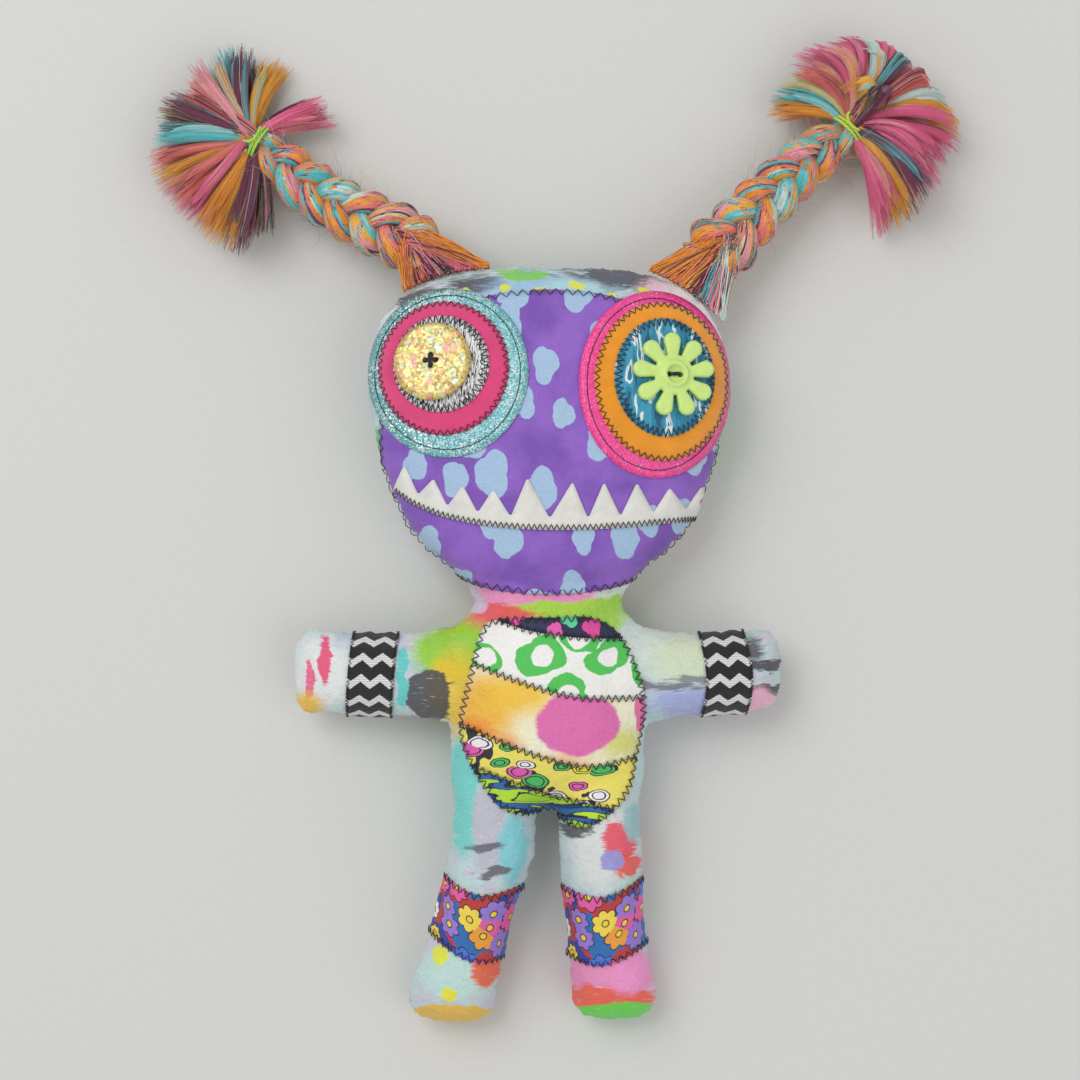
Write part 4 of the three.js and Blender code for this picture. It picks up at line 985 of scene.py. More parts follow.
def brushed_cotton(name, stops, turn, stretch, scale):
    """Cotton printed with brush strokes that lie one way: its colours follow a drawn-out noise; matt."""
    material, tree, shader = new_material(name, Roughness=0.7, Sheen_Weight=0.12)
    place = cloth_place(tree)
    drawn = scaled(tree, stirred(tree, place, 0.1, 1.5), turn, stretch)
    stroke = add(tree, NOISE, {"Vector": drawn, "Scale": scale, "Detail": 2.0, "Roughness": 0.45}, "Fac")
    finish_cotton(tree, shader, place, set_ramp(tree, stroke, stops, "CONSTANT"), 0.3)
    return material


def chevron_ribbon(name, period=8.3, peak=2.9, white=3.1):
    """Woven grosgrain: white chevrons on black, with ribs across it, painted lighter on their crests and
    darker in their troughs as painted light and shade.
    """
    material, tree, shader = new_material(name, Roughness=0.6, Sheen_Weight=0.15)
    place = cloth_place(tree)
    parts = add(tree, "ShaderNodeSeparateXYZ", {0: stirred(tree, place, 0.3, 0.35)}, None).outputs
    zigzag = calc(tree, "*", calc(tree, "PINGPONG", parts[1], period / 2), 2 * peak / period)
    row = calc(tree, "MODULO", calc(tree, "+", parts[0], zigzag, 200.0), period)
    tone = mix(tree, band_between(tree, row, 2.0, 2.0 + white, 0.12), "#17161a", "#eceaea")
    along = add(tree, "ShaderNodeSeparateXYZ", {0: place})
    # Painted light and shade: each rib's crest is lighter and its trough darker; the same ribs also bump the
    # surface
    ribs = calc(tree, "SINE", calc(tree, "*", along, 2 * math.pi / 0.95))
    tint(tree, shader, tone, ribs, (-1, 1), (0.72, 1.08))
    raise_by(tree, shader, ribs, 0.6, 0.00025)
    return material


# Layers of flakes in the resin: their pitch in millimetres, reach and colours
FLAKES = [
    (0.9, 0.5, ("#b09a4c", "#d6c064", "#c6ad55", "#ecd983", "#b8954a")),
    (2.0, 0.62, ("#d9c85a", "#f0d76c", "#e9b45c", "#cdd28a", "#f3e28a", "#e7a873")),
    (3.3, 0.52, ("#ead25e", "#f4a48c", "#bfe3c8", "#f8e990", "#f6b070", "#d4dc9c")),
]


def glitter_resin():
    """Clear resin full of round gold, pink and pale sequins: glossy, over flakes that each tilt."""
    values = dict(Roughness=0.3, Metallic=0.25, Coat_Weight=0.8, Coat_Roughness=0.05)
    material, tree, shader = new_material("glitter_resin", **values)
    place = add(tree, "ShaderNodeTexCoord", out="Object")
    place = add(tree, VECTOR, {0: place, "Scale": 1000.0}, operation="SCALE")
    tone = None
    for pitch, reach, codes in FLAKES:
        sizes = {"Vector": place, "Scale": 1 / pitch, "Randomness": 0.9}
        cells = add(tree, CELLS, sizes, None, voronoi_dimensions="2D").outputs
        own = add(tree, "ShaderNodeSeparateColor", {0: cells["Color"]}, None).outputs
        flake = set_ramp(tree, own[0], even_stops(codes), "CONSTANT")
        if tone is None:
            tone = flake
            tilt_flakes(tree, shader, cells["Color"], 0.5)
        else:
            mask = calc(tree, "LESS_THAN", cells["Distance"], calc(tree, "*", own[1], reach))
            tone = mix(tree, mask, tone, flake)
    tree.links.new(tone, shader.inputs["Base Color"])
    return material


def moulded_plastic(name, tone):
    """Opaque moulded plastic: satin, a little light passing in, with painted shade that darkens its colour
    where its bumped surface lies low.
    """
    material, tree, shader = new_material(
        name, Roughness=0.38, Subsurface_Weight=0.15, Subsurface_Scale=0.002,
    )
    place = add(tree, "ShaderNodeTexCoord", out="Object")
    uneven = add(tree, NOISE, {"Vector": place, "Scale": 180.0, "Detail": 3.0}, "Fac")
    # Painted shade: the noise that bumps the surface also darkens its colour where the surface is low
    tint(tree, shader, tone, uneven, (0.3, 0.7), (0.95, 1.03))
    raise_by(tree, shader, uneven, 0.1, 0.0003)
    return material


# Buttons

BUTTON_HOLES = {"left": [(-2.3, 0), (2.3, 0), (0, -2.3), (0, 2.3)], "right": [(-2.3, 0), (2.3, 0)]}


def belongs(piece, node, body):
    """Hides what the piece replaces, if anything, and sets the piece on the body that it rides."""
    if node:
        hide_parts(node)
    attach(piece, body)
    return piece


def flower_outline(radius=17.6, count=9, core=8.2, broad=3.5, waist=2.2):
    """Long petals with round ends, parted down to the core."""
    points = []
    flare = np.linspace(0, 1, 6)[:-1]
    ends = np.linspace(-math.pi / 2, math.pi / 2, 15)
    arm = [(core + (radius - broad - core) * t, waist + (broad - waist) * t) for t in flare]
    tip = [(radius - broad + broad * math.cos(a), broad * math.sin(a)) for a in ends]
    petal = [*((far, -half) for far, half in arm), *tip, *arm[::-1]]
    for i in range(count):
        bearing = 2 * math.pi * i / count + 0.2
        out = np.array([math.cos(bearing), math.sin(bearing)])
        side = np.array([-out[1], out[0]])
        points += [out * far + side * aside for far, aside in petal]
    return np.array(points)


def button_thread(holes, lift):
    """Three turns of thread through each pair of holes, at a lift above the button's back."""
    lines = []
    for n, (a, b) in enumerate(zip(holes[::2], holes[1::2])):
        a, b = np.array(a, float), np.array(b, float)
        aside = np.array([-(b - a)[1], (b - a)[0]]) / np.linalg.norm(b - a)
        t = np.linspace(0, 1, 22)
        rise = np.where((t < 0.08) | (t > 0.92), -1.6, 0.55 + 0.35 * n + 0.5 * np.sin(np.pi * t)) + lift
        for k in (-0.42, 0.0, 0.42):
            flat = a + (b - a) * np.clip((t - 0.04) / 0.92, 0, 1)[:, None]
            lines.append(np.column_stack([flat + aside * (k + 0.12 * np.sin(6 * t + 9 * k))[:, None], rise]))
    return lines


def make_button(side, place, lift, outline, height, material, slot_name):
    """A button cut to an outline, its top shaped by a height over (distance from the middle, from the rim),
    with drilled holes, seated on the eye and facing away from it. Returns its thread."""
    plan, faces = fill_outline(outline, 0.75)
    edge = distance_to(plan, resample(outline, 0.5))
    edge[: len(outline)] = 0
    top = np.column_stack([plan, height(np.hypot(plan[:, 0], plan[:, 1]), edge)])
    name = f"{side}_eye_button"
    obj = closed_layer(f"{name}_body", top, top * (1, 1, 0), faces, range(len(outline)), plan)
    drill = bmesh.new()
    radius = 1.1 * MM
    for x, y in BUTTON_HOLES[side]:
        at = Matrix.Translation((x * MM, y * MM, 0))
        bmesh.ops.create_cone(
            drill, cap_ends=True, segments=24, radius1=radius, radius2=radius, depth=0.03, matrix=at,
        )
    cutter = linked("drill", bpy.data.meshes.new("drill"))
    drill.to_mesh(cutter.data)
    drill.free()
    holes = obj.modifiers.new("holes", "BOOLEAN")
    holes.object, holes.solver = cutter, "EXACT"
    applied(obj)
    bpy.data.objects.remove(cutter)
    thread_height = float(height(np.array([2.3]), np.array([9.0]))[0])
    thread = lines_object(f"{side}_button_thread_yarn", button_thread(BUTTON_HOLES[side], thread_height))
    middle, up = over_skin([place], lift)
    turn = np.array(Vector((0, 0, 1)).rotation_difference(Vector(up[0])).to_matrix())
    for piece in (obj, thread):
        set_points(piece, points_of(piece) @ turn.T + middle[0])
    obj.data.materials.clear()
    obj.data.materials.append(material)
    belongs(obj, name, "head")
    return belongs(thread, f"{side}_button_thread", "head")


DISC_RADIUS = 16.3


def disc_height(far, edge):
    """A domed disc 3.6 mm thick with a rounded rim."""
    dome = 2.3 + 1.3 * np.sqrt(np.clip(1 - (far / DISC_RADIUS) ** 2, 0, 1))
    return dome * (0.35 + 0.65 * np.sqrt(ease(edge, -0.4, 1.3)))


def flower_height(far, edge):
    """Petals with soft edges, and a raised ring round a dish in the middle."""
    petals = 3.2 * (0.72 + 0.28 * ease(edge, 0, 0.9))
    return petals + 1.7 * ease(far, 6.1, 5.2) * ease(far, 2.9, 4.2) - 0.5 * ease(far, 4.2, 2.9)


# The plaits

PLAITS = {
    "left": dict(
        joint=(-44.05, 190.71), hinge=(0.9646, 0.2638), droop=-7.6, gathered=(-60, 203), to=(-125, 247),
        bow=5, reach=37, root=-11, flare=1.25, crown=(0, 0, 0), seed=3,
    ),
    "right": dict(
        joint=(61.2, 182.97), hinge=(0.8189, -0.5739), droop=-6.0, gathered=(74.6, 200.4), to=(129.4, 252),
        bow=2, reach=38, root=-14, flare=1.45, crown=(9, 13, 8), seed=8,
    ),
}


TIE_GAP = 3  # from a plait's tie to its end


def plait_rest(points, plait):
    """Flat points of a plait turned down about the crown's seam, and raised."""
    origin = np.array(Vector((*plait["joint"], 0)))
    turn = np.array(Matrix.Rotation(math.radians(plait["droop"]), 3, Vector((*plait["hinge"], 0))))
    p = (np.asarray(points, float) - origin) @ turn.T + origin
    p[:, 2] += SEAM_HEIGHT
    return p


def plait_line(plait, start, end, count):
    """Flat points along a plait's middle between two distances from its start, or for a negative or no end
    from its end, with their distance from the tie, the direction along it and across it, and its length."""
    gathered, to = np.array(plait["gathered"], float), np.array(plait["to"], float)
    run = to - gathered
    length = np.linalg.norm(run)
    heading = run / length
    across = np.array([-heading[1], heading[0]])
    t = np.linspace(start / length, (end if end > 0 else length + end) / length, count)
    line = gathered + t[:, None] * run + (plait["bow"] * np.sin(np.pi * np.clip(t, 0, 1)))[:, None] * across
    flat = np.column_stack([line, np.zeros(count)])
    return flat, t * length - (length - TIE_GAP), np.array([*heading, 0]), np.array([*across, 0]), length


def grow(side, part, node, tree, finish, lines, values, sizes, soft=False):
    """Runs a tree over flat lines of a plait and lays what it makes at rest, above the floor."""
    piece = lines_object(f"{side}_braid_{part}", lines, **values)
    run_tree(piece, tree, finish, **sizes)
    points = plait_rest(points_of(piece), PLAITS[side])
    if soft:
        low = np.minimum(points[:, 2], 1.5)
        points[:, 2] = np.where(points[:, 2] < 1.5, 0.1 + 1.4 * np.exp((low - 1.5) / 1.4), points[:, 2])
    set_points(piece, points)
    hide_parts(f"{side}_braid_{node}")
    return piece


def blend_between(piece, flat, plait):
    """Turns two flat points to rest, then bakes the piece's placement into its mesh."""
    start, end = plait_rest(flat, plait) * MM
    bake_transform(piece)


def make_plait(side, tree, finish, size, fibres):
    """The three strands of one plait: a core each, and fibres laid along its outside."""
    plait = PLAITS[side]
    rng = np.random.default_rng(plait["seed"])
    steps = 84
    reach = 1.02 * math.dist(plait["gathered"], plait["to"])
    flat, run, heading, across, length = plait_line(plait, plait["root"], reach, steps)
    spread = np.interp(run - run[0], [0, 24, 90], [plait["flare"], 1.12, 0.9])[:, None] * across
    full = (0.45 + 0.55 * ease(run - run[0], 1, 11)) * np.linspace(1.06, 0.92, steps)
    gathered = np.array([*plait["gathered"], 0])
    tie = length - TIE_GAP
    wraps = dict(wrap_start=0.72 * length - tie, wrap_end=0.97 * length - tie)
    sizes = dict(wraps, swing=6.3, rise=4.9, strand=size, squeeze=0.24, fibre=0.15)
    for strand in range(3):
        for part, count, sides in (("roving", 1, 22), ("fibres", fibres, 4)):
            outer = part == "fibres"
            angle, fullness, dye = [], [], []
            for n in range(count):
                swirl = rng.uniform(-0.5, 0.5)
                wave = 0.05 * np.sin(run / rng.uniform(4, 9) + rng.uniform(0, 6))
                angle.append((2 * math.pi * n / count + swirl * run / 40 + wave) * outer)
                fullness.append((1 + rng.uniform(-0.03, 0.05) * outer) * full)
                stray = rng.uniform(0, 1) * (outer and rng.uniform() < 0.1)
                dye.append(strand * 0.37 + rng.normal(0, 0.006) * outer + stray)
            points = steps * count
            values = dict(
                run=np.tile(run, count), turn=np.full(points, strand / 3), angle=np.concatenate(angle),
                share=np.full(points, float(outer)), core=np.full(points, 1.0 - outer),
                stripe=np.ones(points), fullness=np.concatenate(fullness), dye=np.repeat(dye, steps),
                across=np.tile(spread, (count, 1)),
            )
            node = f"strand_{strand + 1}"
            piece = grow(
                side, f"{node}_{part}", node, tree, finish, [flat] * count, values, dict(sizes, sides=sides),
            )
            joint = (gathered - heading * 6, gathered + heading * 9)
            blend_between(piece, joint, plait)


def make_loose_hairs(side, tree, finish, count):
    """Fine hairs that stand off a plait."""
    plait = PLAITS[side]
    rng = np.random.default_rng(plait["seed"] + 60)
    flat, _, heading, across, _ = plait_line(plait, 13.0, -8, 60)
    lines = []
    for _ in range(count):
        n, bearing, reach = rng.integers(len(flat)), rng.uniform(0, 2 * math.pi), rng.uniform(4, 13)
        out = across * math.cos(bearing) + UP * math.sin(bearing)
        root = flat[n] + out * np.array([7.5, 7.5, 5.0])
        t = np.linspace(0, 1, 9)[:, None]
        drift, wave = heading * abs(rng.normal(0, 6)) + rng.normal(0, 2.5, 3), rng.normal(0, 1.2, 3)
        lines.append(root + out * reach * t + drift * t * t + wave * np.sin(7 * t) * t)
    sizes = dict(thickness=0.08, taper=0.6, sides=3)
    values = dict(dye=np.repeat(rng.uniform(0, 1, count), 9))
    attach(grow(side, "loose_hairs", "strand_1", tree, finish, lines, values, sizes, True), f"{side}_braid")


TUFT_DYES = {
    "left": ("orange", "coral", "maroon", "rose", "dark", "pink", "coral", "amber"),
    "right": ("amber", "orange", "coral", "gold", "maroon", "teal", "rose", "mint"),
}


def arc(start, middle, end, t):
    """Points of a curve from a start to an end, drawn towards a middle."""
    return start * (1 - t) ** 2 + 2 * middle * t * (1 - t) + end * t * t


def make_tuft(side, tree, finish, count):
    """The unplaited root of a plait: fibres spread along the crown's seam and gathered to the plait."""
    plait = PLAITS[side]
    rng = np.random.default_rng(plait["seed"] + 20)
    hinge, joint, gathered = (np.array([*plait[k], 0]) for k in ("hinge", "joint", "gathered"))
    outward = np.array([-hinge[1], hinge[0], 0])
    _, _, heading, across, _ = plait_line(plait, 0, 0, 2)
    bows, dye = [], []
    for _ in range(count):
        u, ring, r = rng.uniform(-1, 1), rng.uniform(0, 2 * math.pi), rng.uniform(0.55, 1) ** 0.5
        root = joint - outward * (rng.uniform(1.5, 4) + 2.5 * u * u)
        root = root + hinge * 19 * u + UP * rng.uniform(-2.0, 2.4)
        end = gathered + heading * rng.uniform(-3, 4)
        end = end + across * 8.2 * r * math.cos(ring) + UP * 7.6 * r * math.sin(ring)
        middle = root * 0.36 + end * 0.64 + UP * (6.5 * r * math.sin(ring) + 1.0)
        middle = middle - (end - gathered) @ across * across * 0.25 + outward * rng.normal(1.5, 1.6)
        bows.append((root, middle, end))
        patch = TUFT_DYES[side][int(np.clip((u + 1) * 4 + rng.normal(0, 0.45), 0, 7.9))]
        patch = patch if rng.uniform() < 0.82 else ("maroon", "dark", "rose", "amber")[rng.integers(4)]
        dye.append(DYE_AT[patch] + rng.normal(0, 0.01))
    steps = 12
    t = np.linspace(0, 1, steps)[:, None]
    lines = []
    for bow in bows:
        phase, size = rng.uniform(0, 2 * math.pi, 3), rng.normal(0, 1.1, 3)
        lines.append(arc(*bow, t) + np.sin(t * rng.uniform(3, 9) + phase) * size * t)
    sizes = dict(thickness=0.24, taper=0.3, sides=4)
    piece = grow(side, "tuft_fibres", "tuft", tree, finish, lines, dict(dye=np.repeat(dye, steps)), sizes)
    blend_between(piece, (joint - outward * 1.0, joint + outward * 7.0), plait)


# Locks of each tassel: direction in degrees from the plait's heading, spread, tilt, reach and dye
LOCKS = {
    "left": [
        (-126, 7, 3, 1.04, "dark"), (-116, 7, 10, 1.12, "maroon"), (-104, 7, 3, 1.14, "gold"),
        (-95, 6, 12, 1.14, "orange"), (-85, 7, 3, 1.12, "pink"), (-74, 7, 12, 1.1, "coral"),
        (-63, 7, 4, 1.08, "rose"), (-53, 6, 12, 1.08, "gold"), (-42, 6, 3, 1.12, "coral"),
        (-32, 5, 14, 1.12, "aqua"), (-20, 7, 3, 1.04, "dark"), (-8, 7, 12, 1.04, "maroon"),
        (5, 7, 3, 1.04, "coral"), (16, 7, 14, 1.06, "rose"), (28, 5, 8, 1.1, "mint"),
        (36, 4, 3, 1.08, "aqua"), (48, 7, 10, 0.98, "maroon"), (68, 7, 5, 0.98, "gold"),
        (116, 6, 2, 0.78, "maroon"), (124, 8, 12, 0.84, "pink"),
    ],
    "right": [
        (-122, 6, 4, 0.84, "orange"), (-112, 5, 10, 0.84, "aqua"), (-98, 7, 4, 0.8, "olive"),
        (-85, 8, 20, 0.86, "coral"), (-72, 7, 8, 0.94, "pink"), (-58, 8, 26, 0.96, "rose"),
        (-46, 7, 8, 0.98, "pink"), (-33, 7, 24, 1.02, "mint"), (-21, 8, 8, 1.0, "pink"),
        (-8, 8, 28, 1.02, "maroon"), (6, 8, 8, 1.02, "rose"), (18, 7, 24, 1.06, "coral"),
        (29, 5, 14, 1.12, "mint"), (39, 6, 6, 1.16, "gold"), (52, 8, 16, 1.1, "pink"),
        (66, 8, 24, 1.06, "pink"), (80, 8, 10, 1.1, "pink"), (93, 7, 22, 1.1, "maroon"),
        # The last three locks of the right tassel are short and steep and fill the middle of the pom; the
        # dark one is painted shade where its fibres gather
        (103, 6, 8, 1.14, "gold"), (113, 6, 14, 1.1, "pink"), (-44, 9, 50, 0.6, "gold"),
        (8, 12, 48, 0.6, "maroon"), (-14, 10, 62, 0.5, "dark"),
    ],
}
WISPS = 4  # in each lock


def make_tassel(side, tree, finish, per_lock):
    """The loose end beyond the tie: locks of cut roving that fan out round it. Each lock is a few soft wisps
    with fibres on them."""
    plait = PLAITS[side]
    rng = np.random.default_rng(plait["seed"] + 40)
    flat, _, heading, across, _ = plait_line(plait, 0, -TIE_GAP, 40)
    root, crown = flat[-1] + heading * 1.2, np.array(plait["crown"], float)
    at = [0, 0.35, 0.75, 0.9, 1.0, 1.3]
    bodies, hairs = dict(lines=[], dye=[], girth=[], turn=[]), dict(lines=[], dye=[])
    t = np.linspace(0, 1, 10)[:, None]
    for bearing, spread, tilt, reach, tone in LOCKS[side]:
        cut, low = rng.uniform(0.94, 1.03), rng.uniform(-14, 2)
        lifted = float(np.clip(1.4 - abs(bearing + 10) / 70, 0.1, 1))
        sweep = 7 * float(np.clip((-bearing - 40) / 60, 0, 1)) * (side == "left") + rng.normal(0, 1.5)
        for n in range(WISPS):
            turn = math.radians(-bearing + ((n + 0.5) / WISPS * 2 - 1) * spread * 0.9 + rng.normal(0, 1.5))
            lean = math.radians((tilt if n % 2 else low) + rng.normal(0, 4))
            level = heading * math.cos(turn) + across * math.sin(turn)
            beside = across * math.cos(turn) - heading * math.sin(turn)
            over = UP * math.cos(lean) - level * math.sin(lean)
            start = root + beside * rng.normal(0, 1.5) + UP * rng.normal(0, 1.5)
            way = level * math.cos(lean) + UP * math.sin(lean)
            end = root + way * plait["reach"] * reach * cut * rng.uniform(0.88, 1.02)
            middle = start + heading * 4 + (end - start) * 0.42
            middle = middle + UP * (math.sin(lean) * 4 + 2.5) + beside * sweep
            middle = middle + crown * lifted
            thick, dye = rng.uniform(1.5, 2.1), DYE_AT[tone] + rng.normal(0, 0.012)
            bodies["lines"].append(arc(start, middle, end, t))
            bodies["girth"].append(thick * np.interp(t[:, 0], at, [0.5, 1.0, 1.25, 0.9, 0.1, 0.1]))
            bodies["dye"].append(np.full(len(t), dye))
            bodies["turn"].append(np.full(len(t), rng.uniform(0, 1)))
            for _ in range(per_lock // WISPS):
                s = np.linspace(0, rng.uniform(0.97, 1.13), 8)[:, None]
                ring, wave = rng.uniform(0, 2 * math.pi), rng.uniform(0, 6)
                off = thick * np.interp(s, at, [0.5, 1.0, 1.35, 1.55, 1.65, 2.1]) * rng.uniform(0.8, 1.12)
                off = off * (beside * math.cos(ring) + over * math.sin(ring))
                hairs["lines"].append(
                    arc(start, middle, end, s) + off + beside * np.sin(5 * s + wave) * 0.35 * s
                )
                stray = rng.uniform() < 0.07
                own = DYE_AT[("mint", "gold", "rose", "dark")[rng.integers(4)]] if stray else dye
                hairs["dye"].append(np.full(8, own + rng.normal(0, 0.008)))
    points = len(t) * len(bodies["lines"])
    bodies.update(
        core=[np.ones(points)], stripe=[np.full(points, 0.07)], run=[t[:, 0] * 40] * len(bodies["lines"]),
    )
    parts = (("wisps", bodies, (1.0, 0.0, 10)), ("fibres", hairs, (0.16, 0.5, 3)))
    for part, own, (thickness, taper, sides) in parts:
        lines = own.pop("lines")
        values = {k: np.concatenate(v) for k, v in own.items()}
        sizes = dict(thickness=thickness, taper=taper, sides=sides)
        piece = grow(side, f"tassel_{part}", "tassel", tree, finish, lines, values, sizes, True)
        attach(shade_smooth(piece), f"{side}_braid")


def make_tie(side, tree, finish, size):
    """The neon yarn wound twice round the end of the plait and knotted on top, with two short ends."""
    flat, _, heading, across, _ = plait_line(PLAITS[side], 0, -TIE_GAP, 40)
    middle = flat[-1]
    angle = np.linspace(0, 2 * math.pi * 2.1, 90)
    radius_a, radius_b = 8.0, 7.6
    coil = middle + np.outer(radius_a * np.cos(angle), across) + np.outer(radius_b * np.sin(angle), UP)
    lines = [coil + np.outer(0.8 * (angle / math.pi - 2.6), heading)]
    t = np.linspace(0, 1, 14)[:, None]
    for sign, lean in ((1, 0.8), (-1, 0.2)):
        rise = UP * (radius_b + 0.7 + 2.2 * t * (1 - 0.8 * t))
        lines.append(middle + rise + across * sign * (6.5 * t - 2.5 * t**3) + heading * lean * 4 * t * t)
    run = [np.cumsum([0, *np.linalg.norm(np.diff(line, axis=0), axis=1)]) for line in lines]
    sizes = dict(thickness=size, taper=0.12, sides=12)
    piece = grow(side, "tie_yarn", "tie", tree, finish, lines, dict(run=np.concatenate(run)), sizes)
    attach(piece, f"{side}_braid")


# Layers sewn to the skin


def drop_on(x, y):
    """Height of the skin over a point of the plan, in millimetres; past its rim, the height of the rim."""
    hit = made["skin"].ray_cast(Vector((x, y, 120)), Vector((0, 0, -1)))[0]
    if hit is None or hit.z < SEAM_HEIGHT - 12:
        hit = made["skin"].find_nearest(Vector((x, y, SEAM_HEIGHT)))[0]
    return hit


def over_skin(plan, lift):
    """Points a lift above the skin over points of the plan, and the way that the skin faces there."""
    placed, ups = [], []
    for x, y in plan:
        dx = drop_on(x + SLOPE, y).z - drop_on(x - SLOPE, y).z
        dy = drop_on(x, y + SLOPE).z - drop_on(x, y - SLOPE).z
        up = Vector((-dx / (2 * SLOPE), -dy / (2 * SLOPE), 1)).normalized()
        placed.append(drop_on(x, y) + up * lift)
        ups.append(up)
    return np.array(placed), np.array(ups)


def closed_layer(name, top, low, faces, rim, plan):
    """A thin closed layer from its upper and lower points; rim is its outline, plan its cloth map."""
    count = len(top)
    walls = [(b, a, a + count, b + count) for a, b in zip(rim, [*rim[1:], rim[0]])]
    under = [tuple(i + count for i in f[::-1]) for f in faces]
    obj = new_object(name, np.vstack([top, low]), [*faces, *under, *walls])
    mesh = bmesh.new()
    mesh.from_mesh(obj.data)
    bmesh.ops.recalc_face_normals(mesh, faces=mesh.faces)
    mesh.to_mesh(obj.data)
    mesh.free()
    lay_cloth(obj, np.vstack([plan, plan]))
    return shade_smooth(obj)


def sew_layer(node, cloth, outline, lift, thickness, finish, body, step=2.4, pucker=0.0):
    """A layer cut to an outline of the plan, a lift above the skin. The finish is a material and a slot's
    name, of which only the material is used.
    """
    outline = np.asarray(outline, float)
    plan, faces = fill_outline(outline, step)
    here, up = over_skin(plan, 0.0)
    edge = distance_to(plan, resample(outline, 1.5))
    edge[: len(outline)] = 0
    soft = np.array([noise.noise(Vector((x / 7, y / 7, lift))) for x, y in plan])
    full = thickness * (0.55 + 0.45 * ease(edge, 0, 1.2)) + pucker * soft * ease(edge, 1.0, 6.0)
    top = here + up * (lift + full)[:, None]
    obj = closed_layer(f"{node}_{cloth}", top, here + up * lift, faces, range(len(outline)), plan)
    obj.data.materials.append(finish[0])
    belongs(obj, node, body)


def inset_path(outline, inset, step=1.0):
    """The outline moved inwards, evenly spaced and smoothed, as a closed path."""
    p = even_out(resample(outline, step), 3)
    ahead = np.roll(p, -1, 0) - np.roll(p, 1, 0)
    inward = np.column_stack([-ahead[:, 1], ahead[:, 0]]) / np.linalg.norm(ahead, axis=1)[:, None]
    return p + inward * inset * (1 if signed_area(p) > 0 else -1)


def sew_along(name, path, lift, context, body, pitch, swing, rise=0.3, closed=True, girth=1):
    """Stitches on top of the layers, along a path of the plan."""
    placed, ups = over_skin(np.vstack([path, path[:1]]) if closed else path, lift)
    sew_line(f"{name}_stitches", placed, ups, context, body, pitch, swing, rise, girth)


def superellipse(x, y, half, up, down, power, count=150):
    """An oval outline whose upper and lower reach may differ."""
    a = np.linspace(0, 2 * math.pi, count, endpoint=False)
    c, s = (np.sign(v) * np.abs(v) ** (2 / power) for v in (np.cos(a), np.sin(a)))
    return np.column_stack([x + half * c, y + np.where(s > 0, up, down) * s])


def keep_on_head(outline, margin=0.8):
    """Draws an outline in where it would pass the side of the head."""
    outline = np.array(outline, float)
    limit = head_half(outline[:, 1]) - margin
    outline[:, 0] = np.clip(outline[:, 0], -limit, limit)
    return outline


def sew_line(name, placed, ups, context, body, pitch, swing, rise, girth):
    """Stitches along points in space; girth is a share of the thread's size."""
    yarn, stitches, thread = sewing(context)
    piece = lines_object(name, [placed], up=ups)
    run_tree(piece, stitches, yarn, pitch=pitch, swing=swing, rise=rise, thread=girth * thread)
    belongs(piece, None, body)

# Points between which the skin's slope is read lie this far to each side
SLOPE = 1.6

FACE_PANEL = dict(x=0.5, y=116.5, half=70.5, up=62.5, down=63.5, power=2.3)
# Each eye's discs from the lowest: its middle and its half sizes
EYES = {
    "left": [(-41, 144.5, 33, 34.9), (-42.5, 146, 26.6, 27.4), (-43.3, 147.6, 19.4, 19.6)],
    "right": [(43.8, 139.7, 31.4, 38.5), (46, 140.7, 27.1, 32.3), (47, 142.2, 20.2, 24)],
}
MOUTH_LINE = [(-63.4, 97), (-54, 90.3), (-39, 84.4), (-15, 80.6), (15, 80), (40, 82), (64, 84.8)]
TEETH = [
    (-58.8, 12.6), (-47, 13.6), (-34.9, 14.3), (-22.3, 14.6), (-8.4, 20.4), (9.7, 19), (22.7, 18.3),
    (36.1, 17), (49.6, 13.9), (63, 13.3),
]
GUM_HEIGHT = 5.2
PANEL_LIFT, LAYER = 0.35, 0.6


# Each disc's name and lift, then its seam's distance from the rim, pitch, swing and rise
DISCS = [
    ("glitter_disc", 1.15, 3.3, 4.4, 0.05, 0.28), ("felt_disc", 1.95, 0.9, 3.1, 1.25, 0.3),
    ("print_disc", 2.7, 1.4, 2.5, 1.9, 0.3),
]


def tooth_outline():
    """The tooth strip's outline: a row of felt teeth on a gum that follows the mouth's lower line."""
    lip = lambda x: float(smooth(MOUTH_LINE, x))
    (left, _), right = MOUTH_LINE[0], 64
    row = [(left, lip(left))]
    for i, (x, height) in enumerate(TEETH):
        row.append((x - 0.55, lip(x) + height - 0.3))
        if TEETH[i + 1 :]:
            row += [(x, lip(x) + height), (x + 0.55, lip(x) + height - 0.3)]
            gap = (x + TEETH[i + 1][0]) / 2
            row += [(gap + s, lip(gap) + GUM_HEIGHT + 0.3) for s in (-0.5, 0.5)]
    row += [(right, lip(right) + TEETH[-1][1]), (right, lip(right))]
    sides = []
    for p, q in zip(row, row[1:]):
        steps = max(int(math.dist(p, q) / 1.6), 1)
        sides += [tuple(np.array(p) + (np.array(q) - p) * k / steps) for k in range(steps)]
    sides += [(x, lip(x)) for x in np.arange(right, left, -1.6)]
    return np.array(sides)[::-1]


def make_face_panel(context, cotton):
    """The purple panel and the zigzag that holds its edge."""
    outline = keep_on_head(superellipse(**FACE_PANEL))
    finish = (cotton, "purple_cotton")
    sew_layer("face_panel", "cloth", resample(outline, 2.2), PANEL_LIFT, LAYER, finish, "head", pucker=0.25)
    path = keep_on_head(inset_path(outline, 1.0), 1.2)
    sew_along("face_panel", path, PANEL_LIFT + LAYER, context, "head", 4.6, 1.5, 0.35)


